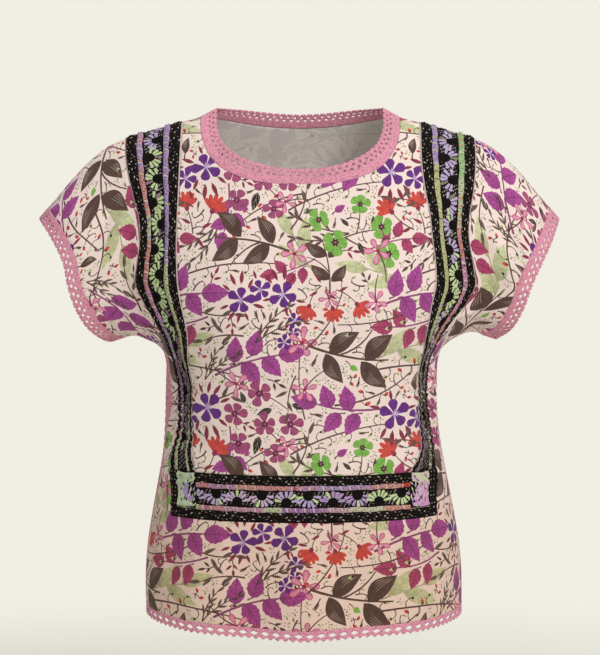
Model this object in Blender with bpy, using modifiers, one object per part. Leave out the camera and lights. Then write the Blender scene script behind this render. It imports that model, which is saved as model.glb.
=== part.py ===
"""Cap-sleeved blouse with drawn-thread bands and crocheted edgings, filled out as when worn.

Metres, +Z up. The front faces -Y, and left means the side at -X. The origin is midway between the
neck points at shoulder height, where a wearer's shoulders would hold the blouse up. Every cloth
piece is a thin wall on one smooth form, and the form is worked out from the tables below.
"""

import math

import bmesh
import bpy
import numpy as np

# Walls and seams
CLOTH = 0.0012
LACE = 0.0013
SEAM_GAP = 0.0004
# Where two walls lean towards each other their faces need more room than their edges
WIDE_GAP = 0.0009

# The form's cross-sections: a rounded oval with this exponent, and its half-sizes at each height.
# Above the underarm the half-width is that of the oval which the armhole cuts.
OVAL = 2.2
SECTIONS = (
    # height, half-width, front depth, back depth
    (-0.640, 0.1820, 0.1310, 0.1190),
    (-0.600, 0.1845, 0.1290, 0.1165),
    (-0.570, 0.1860, 0.1275, 0.1140),
    (-0.543, 0.1855, 0.1255, 0.1110),
    (-0.508, 0.1825, 0.1220, 0.1055),
    (-0.475, 0.1770, 0.1190, 0.1005),
    (-0.441, 0.1705, 0.1165, 0.0965),
    (-0.407, 0.1640, 0.1155, 0.0935),
    (-0.375, 0.1590, 0.1165, 0.0930),
    (-0.345, 0.1565, 0.1195, 0.0945),
    (-0.316, 0.1565, 0.1230, 0.0970),
    (-0.290, 0.1590, 0.1255, 0.0995),
    (-0.270, 0.1690, 0.1268, 0.1015),
    (-0.250, 0.1850, 0.1270, 0.1030),
    (-0.225, 0.2050, 0.1252, 0.1040),
    (-0.200, 0.2190, 0.1210, 0.1040),
    (-0.160, 0.2260, 0.1100, 0.1010),
    (-0.120, 0.2340, 0.0930, 0.0945),
    (-0.090, 0.2430, 0.0800, 0.0880),
    (-0.060, 0.2550, 0.0700, 0.0800),
    (-0.030, 0.2700, 0.0635, 0.0715),
    (0.000, 0.2880, 0.0590, 0.0650),
    (0.060, 0.3200, 0.0520, 0.0560),
)
# The shoulder line, out from the middle. Inside the neck it only guides the slope.
SHOULDER = (
    # distance from the middle, height
    (0.000, 0.0560),
    (0.050, 0.0400),
    (0.080, 0.0160),
    (0.097, 0.0005),
    (0.116, -0.0100),
    (0.139, -0.0165),
    (0.172, -0.0258),
    (0.204, -0.0355),
    (0.240, -0.0500),
)
ROOF_DROP = 0.110
ROOF_ROUND = 1.75
# The blouse hangs a little to one side: the top leans to the left and the hem to the right.
LEAN = 0.0082
LEAN_MIDDLE = -0.30
# The bust: one soft fullness each side
BUST_X, BUST_Z, BUST_SPREAD, BUST_RISE = 0.074, -0.222, 0.046, 0.0065

# Neckline: the seam where the cloth stops, and the free edge of the lace
NECK_SEAM_FRONT = (
    # distance from the middle, height
    (0.0000, -0.0905),
    (0.0400, -0.0890),
    (0.0690, -0.0820),
    (0.0920, -0.0700),
    (0.1070, -0.0520),
    (0.1145, -0.0310),
    (0.1160, -0.0100),
)
NECK_SEAM_BACK = (
    (0.0000, -0.0190),
    (0.0300, -0.0178),
    (0.0580, -0.0150),
    (0.0820, -0.0118),
    (0.1000, -0.0100),
    (0.1160, -0.0100),
)
NECK_EDGE_FRONT = (
    (0.0000, -0.0735),
    (0.0270, -0.0715),
    (0.0520, -0.0650),
    (0.0750, -0.0540),
    (0.0900, -0.0390),
    (0.0965, -0.0200),
    (0.0965, 0.0005),
)
NECK_EDGE_BACK = (
    (0.0000, -0.0030),
    (0.0250, -0.0020),
    (0.0500, 0.0000),
    (0.0700, 0.0012),
    (0.0840, 0.0012),
    (0.0965, 0.0005),
)

# The upright bands of drawn-thread work, as seen from the front
BAND_LEFT = (
    # height, inner edge, outer edge
    (-0.4690, -0.1180, -0.1485),
    (-0.4165, -0.1200, -0.1505),
    (-0.4020, -0.1235, -0.1505),
    (-0.3750, -0.1255, -0.1430),
    (-0.3400, -0.1275, -0.1415),
    (-0.3150, -0.1285, -0.1430),
    (-0.2910, -0.1290, -0.1480),
    (-0.2600, -0.1280, -0.1605),
    (-0.2430, -0.1305, -0.1700),
    (-0.2230, -0.1350, -0.1810),
    (-0.2020, -0.1383, -0.1895),
    (-0.1830, -0.1395, -0.1875),
    (-0.1560, -0.1404, -0.1840),
    (-0.1300, -0.1400, -0.1855),
    (-0.1000, -0.1393, -0.1945),
    (-0.0670, -0.1390, -0.2030),
    (-0.0100, -0.1385, -0.2080),
)
BAND_RIGHT = (
    # height, inner edge, outer edge
    (-0.4690, 0.1220, 0.1530),
    (-0.4165, 0.1215, 0.1535),
    (-0.4020, 0.1310, 0.1515),
    (-0.3700, 0.1370, 0.1475),
    (-0.3450, 0.1365, 0.1450),
    (-0.3150, 0.1366, 0.1450),
    (-0.2830, 0.1372, 0.1490),
    (-0.2600, 0.1390, 0.1600),
    (-0.2430, 0.1420, 0.1730),
    (-0.2250, 0.1445, 0.1880),
    (-0.2050, 0.1490, 0.1970),
    (-0.1830, 0.1490, 0.1948),
    (-0.1490, 0.1455, 0.1895),
    (-0.1250, 0.1435, 0.1910),
    (-0.1000, 0.1390, 0.1965),
    (-0.0720, 0.1360, 0.2005),
    (-0.0100, 0.1370, 0.2025),
)
# The band across the front
BAND_TOP, BAND_BOTTOM = -0.4165, -0.4690
# Across a band: black braid, cord, openwork, cord, black braid
BAND_RELIEF = (
    # share of the width, rise
    (0.00, 0.0003),
    (0.09, 0.0018),
    (0.20, 0.0006),
    (0.26, 0.0016),
    (0.34, 0.0000),
    (0.66, 0.0000),
    (0.74, 0.0016),
    (0.80, 0.0006),
    (0.91, 0.0018),
    (1.00, 0.0003),
)
RELIEF_MAX = 0.0018
# The relief's rows that the corners and the cloth below are divided by, and the cloth beside
BAND_COARSE = (0, 2, 4, 5, 7, 9)
BAND_BESIDE = (0, 3, 6, 9)

# The armhole leaves the band here and runs to the underarm
ARMHOLE_LEAVES = -0.243
UNDERARM = -0.288
ARMHOLE_BACK = (
    # height, distance from the middle
    (-0.288, 0.1592),
    (-0.280, 0.1618),
    (-0.265, 0.1650),
    (-0.245, 0.1690),
    (-0.220, 0.1735),
    (-0.190, 0.1775),
    (-0.160, 0.1815),
    (-0.130, 0.1870),
    (-0.100, 0.1940),
    (-0.067, 0.2015),
    (-0.010, 0.2060),
)

# Cuff seams, down the front and down the back: share of the way, x, y, height
CUFF_LEFT = (
    (0.00, -0.2970, 0.000, -0.1155),
    (0.07, -0.2925, -0.020, -0.1195),
    (0.20, -0.2760, -0.046, -0.1405),
    (0.40, -0.2590, -0.063, -0.1720),
    (0.55, -0.2530, -0.064, -0.1990),
    (0.70, -0.2440, -0.057, -0.2270),
    (0.85, -0.2290, -0.039, -0.2530),
    (0.94, -0.2150, -0.018, -0.2650),
    (1.00, -0.2080, 0.000, -0.2680),
    (1.06, -0.2110, 0.018, -0.2650),
    (1.15, -0.2210, 0.040, -0.2520),
    (1.35, -0.2400, 0.062, -0.2150),
    (1.55, -0.2560, 0.067, -0.1820),
    (1.75, -0.2740, 0.055, -0.1480),
    (1.92, -0.2920, 0.022, -0.1200),
    (2.00, -0.2970, 0.000, -0.1155),
)
CUFF_RIGHT = (
    (0.00, 0.2900, 0.000, -0.1155),
    (0.07, 0.2870, -0.020, -0.1195),
    (0.20, 0.2760, -0.046, -0.1410),
    (0.40, 0.2600, -0.063, -0.1720),
    (0.55, 0.2480, -0.064, -0.1980),
    (0.70, 0.2390, -0.057, -0.2250),
    (0.85, 0.2270, -0.039, -0.2500),
    (0.94, 0.2180, -0.018, -0.2600),
    (1.00, 0.2130, 0.000, -0.2630),
    (1.06, 0.2150, 0.018, -0.2605),
    (1.15, 0.2220, 0.040, -0.2480),
    (1.35, 0.2370, 0.062, -0.2130),
    (1.55, 0.2510, 0.067, -0.1810),
    (1.75, 0.2690, 0.055, -0.1480),
    (1.92, 0.2850, 0.022, -0.1200),
    (2.00, 0.2900, 0.000, -0.1155),
)
# The way the sleeve points at its cuff, on top and under the arm, for the left sleeve
CUFF_WAY_TOP = (-0.66, 0.0, -0.75)
CUFF_WAY_UNDER = (-0.95, 0.0, -0.31)

# Side insertions: angle round the form of their front edge, and their width
INSERTION = (
    # height, left angle, right angle in degrees
    (-0.600, 90.0, 90.0),
    (-0.540, 89.5, 90.0),
    (-0.480, 86.5, 88.0),
    (-0.430, 80.0, 83.5),
    (-0.380, 77.0, 83.0),
    (-0.330, 76.0, 84.0),
    (-0.286, 76.0, 84.0),
)
INSERTION_WIDTH = 0.016

# Hem: where the cloth stops, by angle from the middle of the front
HEM = (
    # degrees, height
    (0.0, -0.5890),
    (20.0, -0.5860),
    (45.0, -0.5835),
    (70.0, -0.5805),
    (95.0, -0.5780),
    (180.0, -0.5780),
)

# At the sides of the neck the edging leans back: its depth there, and how far down the lean fades
NECK_LEAN, NECK_LEAN_DROP = 0.38, 0.060

# Crocheted edgings: the rows across them as shares of the width, from the seam to the free edge
NECK_ROWS = (0.04, 0.42, 0.78, 1.00)
CUFF_LACE_WIDTH, CUFF_ROWS = 0.0172, (0.00, 0.38, 0.74, 1.00)
HEM_LACE_WIDTH, HEM_ROWS = 0.0125, (0.00, 0.25, 0.68, 1.00)
# A scallop has one eye, EYE_SHARE of its length, and its free edge dips by a share of the width
SCALLOP, EYE_SHARE, DIP = 0.0132, 0.62, 0.15

# The largest folds: soft ridges (+) and troughs (-) on the front (-1) or back (1), from one point to another
FOLDS = (
    # face, x, height, to x, to height, half-width, rise
    (-1, 0.196, -0.228, 0.206, -0.268, 0.013, -0.0110),
    (-1, 0.218, -0.236, 0.216, -0.276, 0.012, 0.0050),
    (-1, -0.186, -0.236, -0.170, -0.268, 0.012, 0.0050),
    (-1, -0.206, -0.232, -0.196, -0.262, 0.013, -0.0070),
    (-1, -0.134, -0.300, -0.132, -0.395, 0.012, -0.0060),
    (-1, 0.141, -0.290, 0.142, -0.395, 0.012, -0.0070),
    (-1, -0.160, -0.300, -0.158, -0.430, 0.014, 0.0035),
    (-1, 0.154, -0.300, 0.158, -0.430, 0.014, 0.0030),
    (-1, 0.004, -0.500, -0.002, -0.620, 0.030, 0.0060),
    (-1, -0.056, -0.510, -0.060, -0.620, 0.024, -0.0050),
    (-1, 0.062, -0.520, 0.070, -0.620, 0.024, -0.0045),
    (-1, -0.115, -0.500, -0.124, -0.620, 0.024, 0.0045),
    (-1, 0.118, -0.505, 0.130, -0.620, 0.024, 0.0040),
    (-1, -0.090, -0.260, -0.020, -0.330, 0.022, 0.0030),
    (-1, 0.100, -0.265, 0.030, -0.330, 0.022, 0.0030),
    (1, -0.060, -0.330, -0.080, -0.620, 0.026, 0.0060),
    (1, 0.000, -0.340, 0.004, -0.620, 0.026, -0.0050),
    (1, 0.064, -0.320, 0.082, -0.620, 0.026, 0.0060),
    (1, -0.125, -0.330, -0.135, -0.620, 0.022, -0.0050),
    (1, 0.122, -0.330, 0.136, -0.620, 0.022, -0.0050),
    (1, -0.190, -0.200, -0.215, -0.262, 0.014, -0.0080),
    (1, 0.190, -0.200, 0.215, -0.262, 0.014, -0.0080),
    (1, -0.150, -0.110, -0.080, -0.200, 0.026, 0.0035),
    (1, 0.150, -0.110, 0.080, -0.200, 0.026, 0.0035),
)

# How finely the pieces are divided
ROWS_UPPER, ROWS_WAIST, ROWS_LOWER, ROWS_BACK = 10, 6, 5, 9
NECK_CELLS, SHOULDER_CELLS, SIDE_CELLS = 16, 2, 3
BACK_NECK_CELLS, BACK_SHOULDER_CELLS = 12, 3
SLEEVE_ROWS = 6
CROWDING = 1.3

PINK = (0.73, 0.26, 0.36)
CREAM = (0.86, 0.76, 0.65)
BLACK = (0.012, 0.008, 0.007)
COLLECTION = "Drawn-thread blouse"


def smooth(table, at, column=1):
    """A smooth curve through a table's rows, read at one or many places of its first column."""
    rows = np.array(table, float)
    rows = rows[np.argsort(rows[:, 0])]
    x, y = rows[:, 0], rows[:, column]
    step = np.diff(x)
    slope = np.diff(y) / step
    inner = (slope[:-1] * step[1:] + slope[1:] * step[:-1]) / (step[:-1] + step[1:])
    tangent = np.concatenate([slope[:1], inner, slope[-1:]])
    at = np.clip(np.asarray(at, float), x[0], x[-1])
    i = np.clip(np.searchsorted(x, at) - 1, 0, len(x) - 2)
    t = (at - x[i]) / step[i]
    start = (1 + 2 * t) * (1 - t) ** 2 * y[i] + t * (1 - t) ** 2 * step[i] * tangent[i]
    end = t * t * (3 - 2 * t) * y[i + 1] - t * t * (1 - t) * step[i] * tangent[i + 1]
    return start + end


def lean(z):
    return LEAN * (LEAN_MIDDLE - z)


def unit(v):
    return v / np.maximum(np.linalg.norm(v, axis=-1, keepdims=True), 1e-12)


def form(angle, z):
    """A point of the plain form: angle 0 is the middle of the front, and +-180 degrees of the back."""
    angle, z = np.broadcast_arrays(np.asarray(angle, float), np.asarray(z, float))
    s, c = np.sin(angle), np.cos(angle)
    reach = (np.abs(s) ** OVAL + np.abs(c) ** OVAL) ** (-1 / OVAL)
    x = smooth(SECTIONS, z, 1) * reach * s
    depth = np.where(c > 0, smooth(SECTIONS, z, 2), smooth(SECTIONS, z, 3))
    down = np.clip((smooth(SHOULDER, np.abs(x), 1) - z) / ROOF_DROP, 0, 1)
    roof = (1 - (1 - down) ** ROOF_ROUND) ** (1 / ROOF_ROUND)
    y = -depth * reach * c * roof
    for side in (-1, 1):
        off = ((x - side * BUST_X) ** 2 + (z - BUST_Z) ** 2) / BUST_SPREAD**2
        y = y - np.where(c > 0, BUST_RISE * np.exp(-off), 0)
    return np.stack([x + lean(z), y, z], -1)


def angle_at(x, z):
    """The front angle at which the form is at x at this height."""
    u = np.clip((x - lean(z)) / smooth(SECTIONS, z, 1), -0.9999, 0.9999)
    share = np.abs(u) ** OVAL
    return np.sign(u) * np.arctan((share / (1 - share)) ** (1 / OVAL))


def form_normal(angle, z):
    """The form's outward direction."""
    step_a, step_z = 1e-3, 2e-4
    across = form(angle + step_a, z) - form(angle - step_a, z)
    up = form(angle, z + step_z) - form(angle, z - step_z)
    return unit(np.cross(across, up))


def fold_lines():
    """Each fold's two ends in space, its half-width and its rise."""
    lines = []
    for face, x0, z0, x1, z1, width, rise in FOLDS:
        ends = []
        for x, z in ((x0, z0), (x1, z1)):
            a = angle_at(np.clip(x, -0.2, 0.2), z)
            a = np.where(face < 0, a, math.pi - a)
            p = form(a, z)
            p[..., 0] = x
            ends.append(p)
        lines.append((ends[0], ends[1], width, rise))
    return lines


FOLD_LINES = fold_lines()


def folded(p, normal):
    """Points moved out or in by the folds near them."""
    shift = np.zeros(p.shape[:-1])
    for start, end, width, rise in FOLD_LINES:
        way = end - start
        t = np.clip(((p - start) @ way) / (way @ way), 0, 1)
        off = np.linalg.norm(p - start - t[..., None] * way, axis=-1)
        fade = np.sin(math.pi * np.clip(0.12 + 0.88 * t, 0, 0.94) ** 0.8)
        shift = shift + rise * fade * np.exp(-((off / width) ** 2))
    return p + normal * shift[..., None]


def torso(angle, z):
    """Points and outward directions of the folded form."""
    angle, z = np.broadcast_arrays(np.asarray(angle, float), np.asarray(z, float))
    normal = form_normal(angle, z)
    return folded(form(angle, z), normal), normal


def band_edge(side, z, column):
    return smooth(BAND_LEFT if side < 0 else BAND_RIGHT, z, column)


def insertion_edges(side, z):
    """The angles of a side insertion's front and back edges, which lie its width apart."""
    front = side * np.radians(smooth(INSERTION, z, 1 if side < 0 else 2))
    turn = side * 1e-2
    reach = np.linalg.norm(form(front + turn, z) - form(front, z), axis=-1) / 1e-2
    return front, front + side * INSERTION_WIDTH / reach


def mix(a, b, share):
    return a + (b - a) * share


def points_at(points, shares):
    """The points at these shares of the length of a line through many points."""
    points = np.asarray(points, float)
    length = np.concatenate([[0], np.cumsum(np.linalg.norm(np.diff(points, axis=0), axis=1))])
    at = np.asarray(shares, float) * length[-1]
    return np.stack([np.interp(at, length, points[:, k]) for k in range(points.shape[1])], -1)


def ridge(x):
    """The height of the shoulder line above x."""
    return smooth(SHOULDER, np.abs(x - lean(0.0)))


def crowded(rows):
    """Shares of the way down a panel, closer together near the shoulder."""
    return np.linspace(0, 1, rows + 1) ** CROWDING


def even(cells):
    return np.linspace(0, 1, cells + 1)


def waist_rows(start):
    """Heights from an armhole or underarm down to the band across the front."""
    return mix(np.asarray(start, float)[..., None], BAND_TOP, even(ROWS_WAIST))


def beside_band():
    """Heights beside the band across the front, below its top edge."""
    shares = np.array([share for share, _ in BAND_RELIEF])
    return mix(BAND_TOP, BAND_BOTTOM, shares[list(BAND_BESIDE)][1:])


def band_columns(side, shares):
    """(x, height) of a band's points, with a column for each share from its inner to its outer edge."""
    shares = np.asarray(shares, float)
    top = np.full(shares.shape, -0.03)
    for _ in range(6):
        top = ridge(mix(band_edge(side, top, 1), band_edge(side, top, 2), shares))
    upper = mix(top[:, None], ARMHOLE_LEAVES, crowded(ROWS_UPPER))
    lower = np.tile(waist_rows(ARMHOLE_LEAVES)[1:], (len(shares), 1))
    z = np.concatenate([upper, lower], axis=1)
    return mix(band_edge(side, z, 1), band_edge(side, z, 2), shares[:, None]), z


def neck_line(table, cells):
    """(x, height) along a neckline table, from the left neck point to the right one."""
    rows = np.array(table, float)
    along = np.concatenate([[0], np.cumsum(np.hypot(*np.diff(rows, axis=0).T))])
    fine = np.linspace(0, along[-1], 200)
    x = np.minimum(smooth(np.stack([along, rows[:, 0]], -1), fine), rows[-1, 0])
    half = np.stack([x, smooth(np.stack([along, rows[:, 1]], -1), fine)], -1)
    line = np.concatenate([half[::-1] * (-1, 1), half[1:]])
    line[:, 0] += lean(line[:, 1])
    return points_at(line, even(cells))


def top_line(neck, ends, cells):
    """A neckline with the shoulder seam added from each neck point out to the ends."""
    left = mix(ends[0], neck[0, 0], even(cells)[:-1])
    right = mix(neck[-1, 0], ends[1], even(cells)[1:])
    seams = [np.stack([x, ridge(x)], -1) for x in (left, right)]
    return np.concatenate([seams[0], neck, seams[1]])


def eased(share):
    return share * share * (3 - 2 * share)


def centre_columns():
    """(x, height) of the front panel's points between the upright bands."""
    ends = [band_columns(side, [0.0])[0][0, 0] for side in (-1, 1)]
    top = top_line(neck_line(NECK_SEAM_FRONT, NECK_CELLS), ends, SHOULDER_CELLS)
    down = crowded(ROWS_UPPER)
    upper = mix(top[:, 1:], ARMHOLE_LEAVES, down)
    lower = np.tile(waist_rows(ARMHOLE_LEAVES)[1:], (len(top), 1))
    z = np.concatenate([upper, lower], axis=1)
    left, right = band_edge(-1, top[:, 1], 1), band_edge(1, top[:, 1], 1)
    start = np.clip((top[:, 0] - left) / (right - left), 0, 1)[:, None]
    settle = np.concatenate([eased(np.minimum(down * 1.25, 1)), np.ones(ROWS_WAIST)])
    share = mix(start, even(len(top) - 1)[:, None], settle)
    return mix(band_edge(-1, z, 1), band_edge(1, z, 1), share), z


def front_points(x, z):
    return torso(angle_at(x, z), z)[0]


def side_angles(side):
    """(angle, height) from the band's outer edge round to the insertion, armhole to the band across."""
    share = even(SIDE_CELLS)
    z = waist_rows(mix(ARMHOLE_LEAVES, UNDERARM, np.sin(share * math.pi / 2)))
    z = np.concatenate([z, np.tile(beside_band(), (len(share), 1))], axis=1)
    start = angle_at(band_edge(side, z, 2), z)
    return mix(start, insertion_edges(side, z)[0], share[:, None]), z


def hem_height(angle):
    turned = np.abs((np.degrees(angle) + 180) % 360 - 180)
    return smooth(HEM, turned)


def lower_angles(angle):
    """(angle, height) down from the band across to the hem, for points at these angles."""
    angle = np.asarray(angle, float)
    share = even(ROWS_LOWER)
    edges = [abs(insertion_edges(side, BAND_BOTTOM)[0]) for side in (-1, 1)]
    turned = np.repeat(angle[:, None], len(share), axis=1)
    for _ in range(4):
        z = mix(BAND_BOTTOM, hem_height(turned), share)
        left, right = (abs(insertion_edges(side, z)[0]) for side in (-1, 1))
        turned = angle[:, None] * np.where(angle[:, None] < 0, left / edges[0], right / edges[1])
    return turned, z


def insertion_angles(side):
    """(angle, height) of a side insertion's two edges, from the underarm to the hem."""
    z = np.concatenate(
        [
            waist_rows(UNDERARM),
            beside_band(),
            mix(BAND_BOTTOM, hem_height(side * math.pi / 2), even(ROWS_LOWER)[1:]),
        ]
    )
    edges = np.stack(insertion_edges(side, z))
    return edges[::side], np.stack([z, z])


def back_edge(side, z):
    """The angle of the back panel's side edge: the armhole, and below it the insertion."""
    top = band_columns(side, [1.0])
    shift = abs(top[0][0, 0] - lean(0.0)) - smooth(ARMHOLE_BACK, top[1][0, 0])
    up = np.clip((z - UNDERARM) / (top[1][0, 0] - UNDERARM), 0, 1)
    x = np.clip((smooth(ARMHOLE_BACK, z) + shift * up) / smooth(SECTIONS, z, 1), 0, 0.9999) ** OVAL
    armhole = math.pi - np.arctan((x / (1 - x)) ** (1 / OVAL))
    below = np.clip((ARMHOLE_LEAVES - z) / (ARMHOLE_LEAVES - UNDERARM), 0, 1) ** 2
    return side * mix(armhole, np.abs(insertion_edges(side, z)[1]), below)


def back_angles():
    """(angle, height) of the back panel's points, from its right edge round to its left."""
    ends = [band_columns(side, [1.0])[0][0, 0] for side in (-1, 1)]
    top = top_line(neck_line(NECK_SEAM_BACK, BACK_NECK_CELLS), ends, BACK_SHOULDER_CELLS)[::-1]
    down = crowded(ROWS_BACK)
    z = np.concatenate(
        [
            mix(top[:, 1:], UNDERARM, down),
            np.tile(waist_rows(UNDERARM)[1:], (len(top), 1)),
            np.tile(beside_band(), (len(top), 1)),
            np.tile(mix(BAND_BOTTOM, hem_height(math.pi), even(ROWS_LOWER)[1:]), (len(top), 1)),
        ],
        axis=1,
    )
    angle_top = math.pi - angle_at(top[:, 0], top[:, 1])
    right, left = back_edge(1, top[:, 1]), 2 * math.pi + back_edge(-1, top[:, 1])
    start = np.clip((angle_top - right) / (left - right), 0, 1)[:, None]
    settle = np.concatenate([eased(down), np.ones(z.shape[1] - len(down))])
    share = mix(start, even(len(top) - 1)[:, None], settle)
    return mix(back_edge(1, z), 2 * math.pi + back_edge(-1, z), share), z


def armhole_ring(side):
    """Plain points, outward directions and shares (0 top, 1 underarm, 2 top again) round an armhole."""
    x, z = band_columns(side, [1.0])
    upper = slice(0, ROWS_UPPER + 1)
    front = [np.stack([angle_at(x[0, upper], z[0, upper]), z[0, upper]], -1)]
    angle, z = side_angles(side)
    front.append(np.stack([angle[1:, 0], z[1:, 0]], -1))
    angle, z = back_angles()
    column = 0 if side > 0 else -1
    turn = 0 if side > 0 else 2 * math.pi
    upper = slice(ROWS_BACK, None, -1)
    back = np.stack([angle[column, upper] - turn, z[column, upper]], -1)
    front = np.concatenate(front)
    ring = np.concatenate([front, back])
    points, normals = form(ring[:, 0], ring[:, 1]), form_normal(ring[:, 0], ring[:, 1])
    points[-1] = points[0]
    normals[0] = normals[-1] = unit(normals[0] + normals[-1])
    length = np.concatenate([[0], np.cumsum(np.linalg.norm(np.diff(points, axis=0), axis=1))])
    under = (length[len(front) - 1] + length[len(front)]) / 2
    shares = np.where(length < under, length / under, 1 + (length - under) / (length[-1] - under))
    return points, normals, shares


def cuff_way(side, shares):
    """The way the sleeve points at its cuff."""
    under = (1 - np.cos(math.pi * shares)) / 2
    way = mix(np.array(CUFF_WAY_TOP), np.array(CUFF_WAY_UNDER), under[:, None])
    return unit(way * (-side, 1, 1))


def sleeve_points(side):
    """The sleeve's points round (columns) and out to the cuff (rows)."""
    start, normals, shares = armhole_ring(side)
    table = CUFF_LEFT if side < 0 else CUFF_RIGHT
    end = np.stack([smooth(table, shares, k) for k in (1, 2, 3)], -1)
    along = np.roll(start[:-1], -1, axis=0) - np.roll(start[:-1], 1, axis=0)
    along = np.concatenate([along, along[:1]])
    out = -side * unit(np.cross(along, normals))
    way = cuff_way(side, shares)
    reach = np.linalg.norm(end - start, axis=1, keepdims=True)
    rows = []
    for t in crowded(SLEEVE_ROWS):
        leave = start * (1 + 2 * t) * (1 - t) ** 2 + out * reach * t * (1 - t) ** 2
        arrive = end * t * t * (3 - 2 * t) - way * reach * t * t * (1 - t)
        rows.append(leave + arrive)
    plain = np.stack(rows, axis=1)
    round_way = np.gradient(plain, axis=0)
    round_way[0] = round_way[-1] = (round_way[0] + round_way[-1]) / 2
    facing = side * unit(np.cross(round_way, np.gradient(plain, axis=1)))
    facing[:, 0] = normals
    return folded(plain, facing)


def lace_points(seam, edge, rows):
    """A crocheted edging's points between a seam line and a free edge, with the edge scalloped."""
    length = np.linalg.norm(np.diff(seam, axis=0), axis=1).sum()
    count = round(length / SCALLOP)
    start = np.arange(count)
    eyes = np.stack([start + (1 - EYE_SHARE) / 2, start + (1 + EYE_SHARE) / 2], -1).ravel()
    shares = np.concatenate([[0], eyes, [count]]) / count
    inner, outer = points_at(seam, shares), points_at(edge, shares)
    depth = np.repeat(np.asarray(rows, float)[None], len(shares), axis=0)
    depth[::2, -1] -= DIP
    return mix(inner[:, None], outer[:, None], depth[..., None])


def add_grid(bm, points, raised=None, eyes=False):
    """Adds a grid through points[column, row], and may raise its rows or open its eyes."""
    columns, rows = points.shape[0] - 1, points.shape[1] - 1
    deform = bm.verts.layers.deform.verify()
    made = bmesh.ops.create_grid(bm, x_segments=columns, y_segments=rows, size=0.5)["verts"]
    faces = {face for vert in made for face in vert.link_faces}
    open_faces = []
    for face in faces:
        middle = face.calc_center_median()
        column, row = int((middle.x + 0.5) * columns), int((middle.y + 0.5) * rows)
        if eyes and row == 1 and column % 2 == 1:
            open_faces.append(face)
    for vert in made:
        column, row = round((vert.co.x + 0.5) * columns), round((vert.co.y + 0.5) * rows)
        vert.co = points[column, row]
        vert[deform][0] = 0.0 if raised is None else raised[column, row]
    bmesh.ops.reverse_faces(bm, faces=list(faces))
    if open_faces:
        bmesh.ops.delete(bm, geom=open_faces, context="FACES")


def part_seams(bm, gap):
    """Draws each edge in by half the gap."""
    inward = {}
    for edge in bm.edges:
        if edge.is_boundary:
            face = edge.link_faces[0]
            along = (edge.verts[1].co - edge.verts[0].co).normalized()
            way = face.normal.cross(along)
            if way.dot(face.calc_center_median() - edge.verts[0].co) < 0:
                way.negate()
            for vert in edge.verts:
                inward.setdefault(vert, []).append(way)
    for vert, ways in inward.items():
        total = ways[0] + ways[-1]
        vert.co += total * (gap / 2 / max(1 + ways[0].dot(ways[-1]), 0.5))


def cloth_material(name, colour, roughness):
    material = bpy.data.materials.new(name)
    material.use_nodes = True
    shader = material.node_tree.nodes["Principled BSDF"]
    shader.inputs["Base Color"].default_value = (*colour, 1.0)
    shader.inputs["Roughness"].default_value = roughness
    material.diffuse_color = (*colour, 1.0)
    return material


def wall(name, grids, colour, thickness=CLOTH, eyes=False, gap=SEAM_GAP):
    """One cloth piece: its grids welded, parted from its neighbours and given their thickness."""
    bm = bmesh.new()
    for grid in grids:
        points, raised = grid if isinstance(grid, tuple) else (grid, None)
        add_grid(bm, points, raised, eyes)
    bmesh.ops.remove_doubles(bm, verts=bm.verts, dist=1e-5)
    bm.normal_update()
    part_seams(bm, gap)
    mesh = bpy.data.meshes.new(name)
    bm.to_mesh(mesh)
    bm.free()
    mesh.shade_smooth()
    piece = bpy.data.objects.new(name, mesh)
    group = piece.vertex_groups.new(name="raised")
    bpy.data.collections[COLLECTION].objects.link(piece)
    is_raised = any(isinstance(grid, tuple) for grid in grids)
    shell = piece.modifiers.new("Wall", "SOLIDIFY")
    shell.offset = 1.0
    shell.thickness = thickness + (RELIEF_MAX if is_raised else 0.0)
    if is_raised:
        shell.vertex_group = group.name
        shell.thickness_vertex_group = thickness / shell.thickness
    mesh.materials.append(cloth_material(name, colour, 0.85))
    return piece


def relief(columns_or_rows):
    return np.array([rise / RELIEF_MAX for _, rise in BAND_RELIEF])[list(columns_or_rows)]


def make_front():
    """The centre panel, the bands round it, and the cloth round the bands."""
    shares = np.array([share for share, _ in BAND_RELIEF])
    coarse = shares[list(BAND_COARSE)]
    x, z = centre_columns()
    wall("front_centre", [front_points(x, z)], CREAM)
    for side, name in ((-1, "band_left"), (1, "band_right")):
        x_band, z_band = band_columns(side, shares)
        rise = np.repeat(relief(range(len(shares)))[:, None], z_band.shape[1], axis=1)
        points = front_points(x_band, z_band)
        wall(name, [(points[::side], rise[::side])], BLACK)
    levels = mix(BAND_TOP, BAND_BOTTOM, shares)
    corners = [
        mix(band_edge(side, levels, 1), band_edge(side, levels, 2), coarse[:, None]) for side in (-1, 1)
    ]
    middle = mix(band_edge(-1, levels, 1), band_edge(1, levels, 1), even(x.shape[0] - 1)[:, None])
    across = np.concatenate([corners[0][:0:-1], middle, corners[1][1:]])
    heights = np.repeat(levels[None], len(across), axis=0)
    rise = np.repeat(relief(range(len(shares)))[None], len(across), axis=0)
    wall("band_front", [(front_points(across, heights), rise)], BLACK)

    sides = {side: side_angles(side) for side in (-1, 1)}
    below = [
        sides[-1][0][::-1, -1],
        angle_at(across[:, -1], BAND_BOTTOM)[1:-1],
        sides[1][0][:, -1],
    ]
    angle, height = lower_angles(np.concatenate(below))
    grids = [torso(*sides[-1])[0][::-1], torso(*sides[1])[0], torso(angle, height)[0]]
    wall("front_outer", grids, CREAM)
    return grids[2][:, -1]


def make_lace(name, seam, edge, rows, turn=False, gap=SEAM_GAP):
    """A crocheted edging, turned over where its free edge is its upper one."""
    points = lace_points(seam, edge, rows)
    wall(name, [points[:, ::-1] if turn else points], PINK, LACE, eyes=True, gap=gap)


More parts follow.
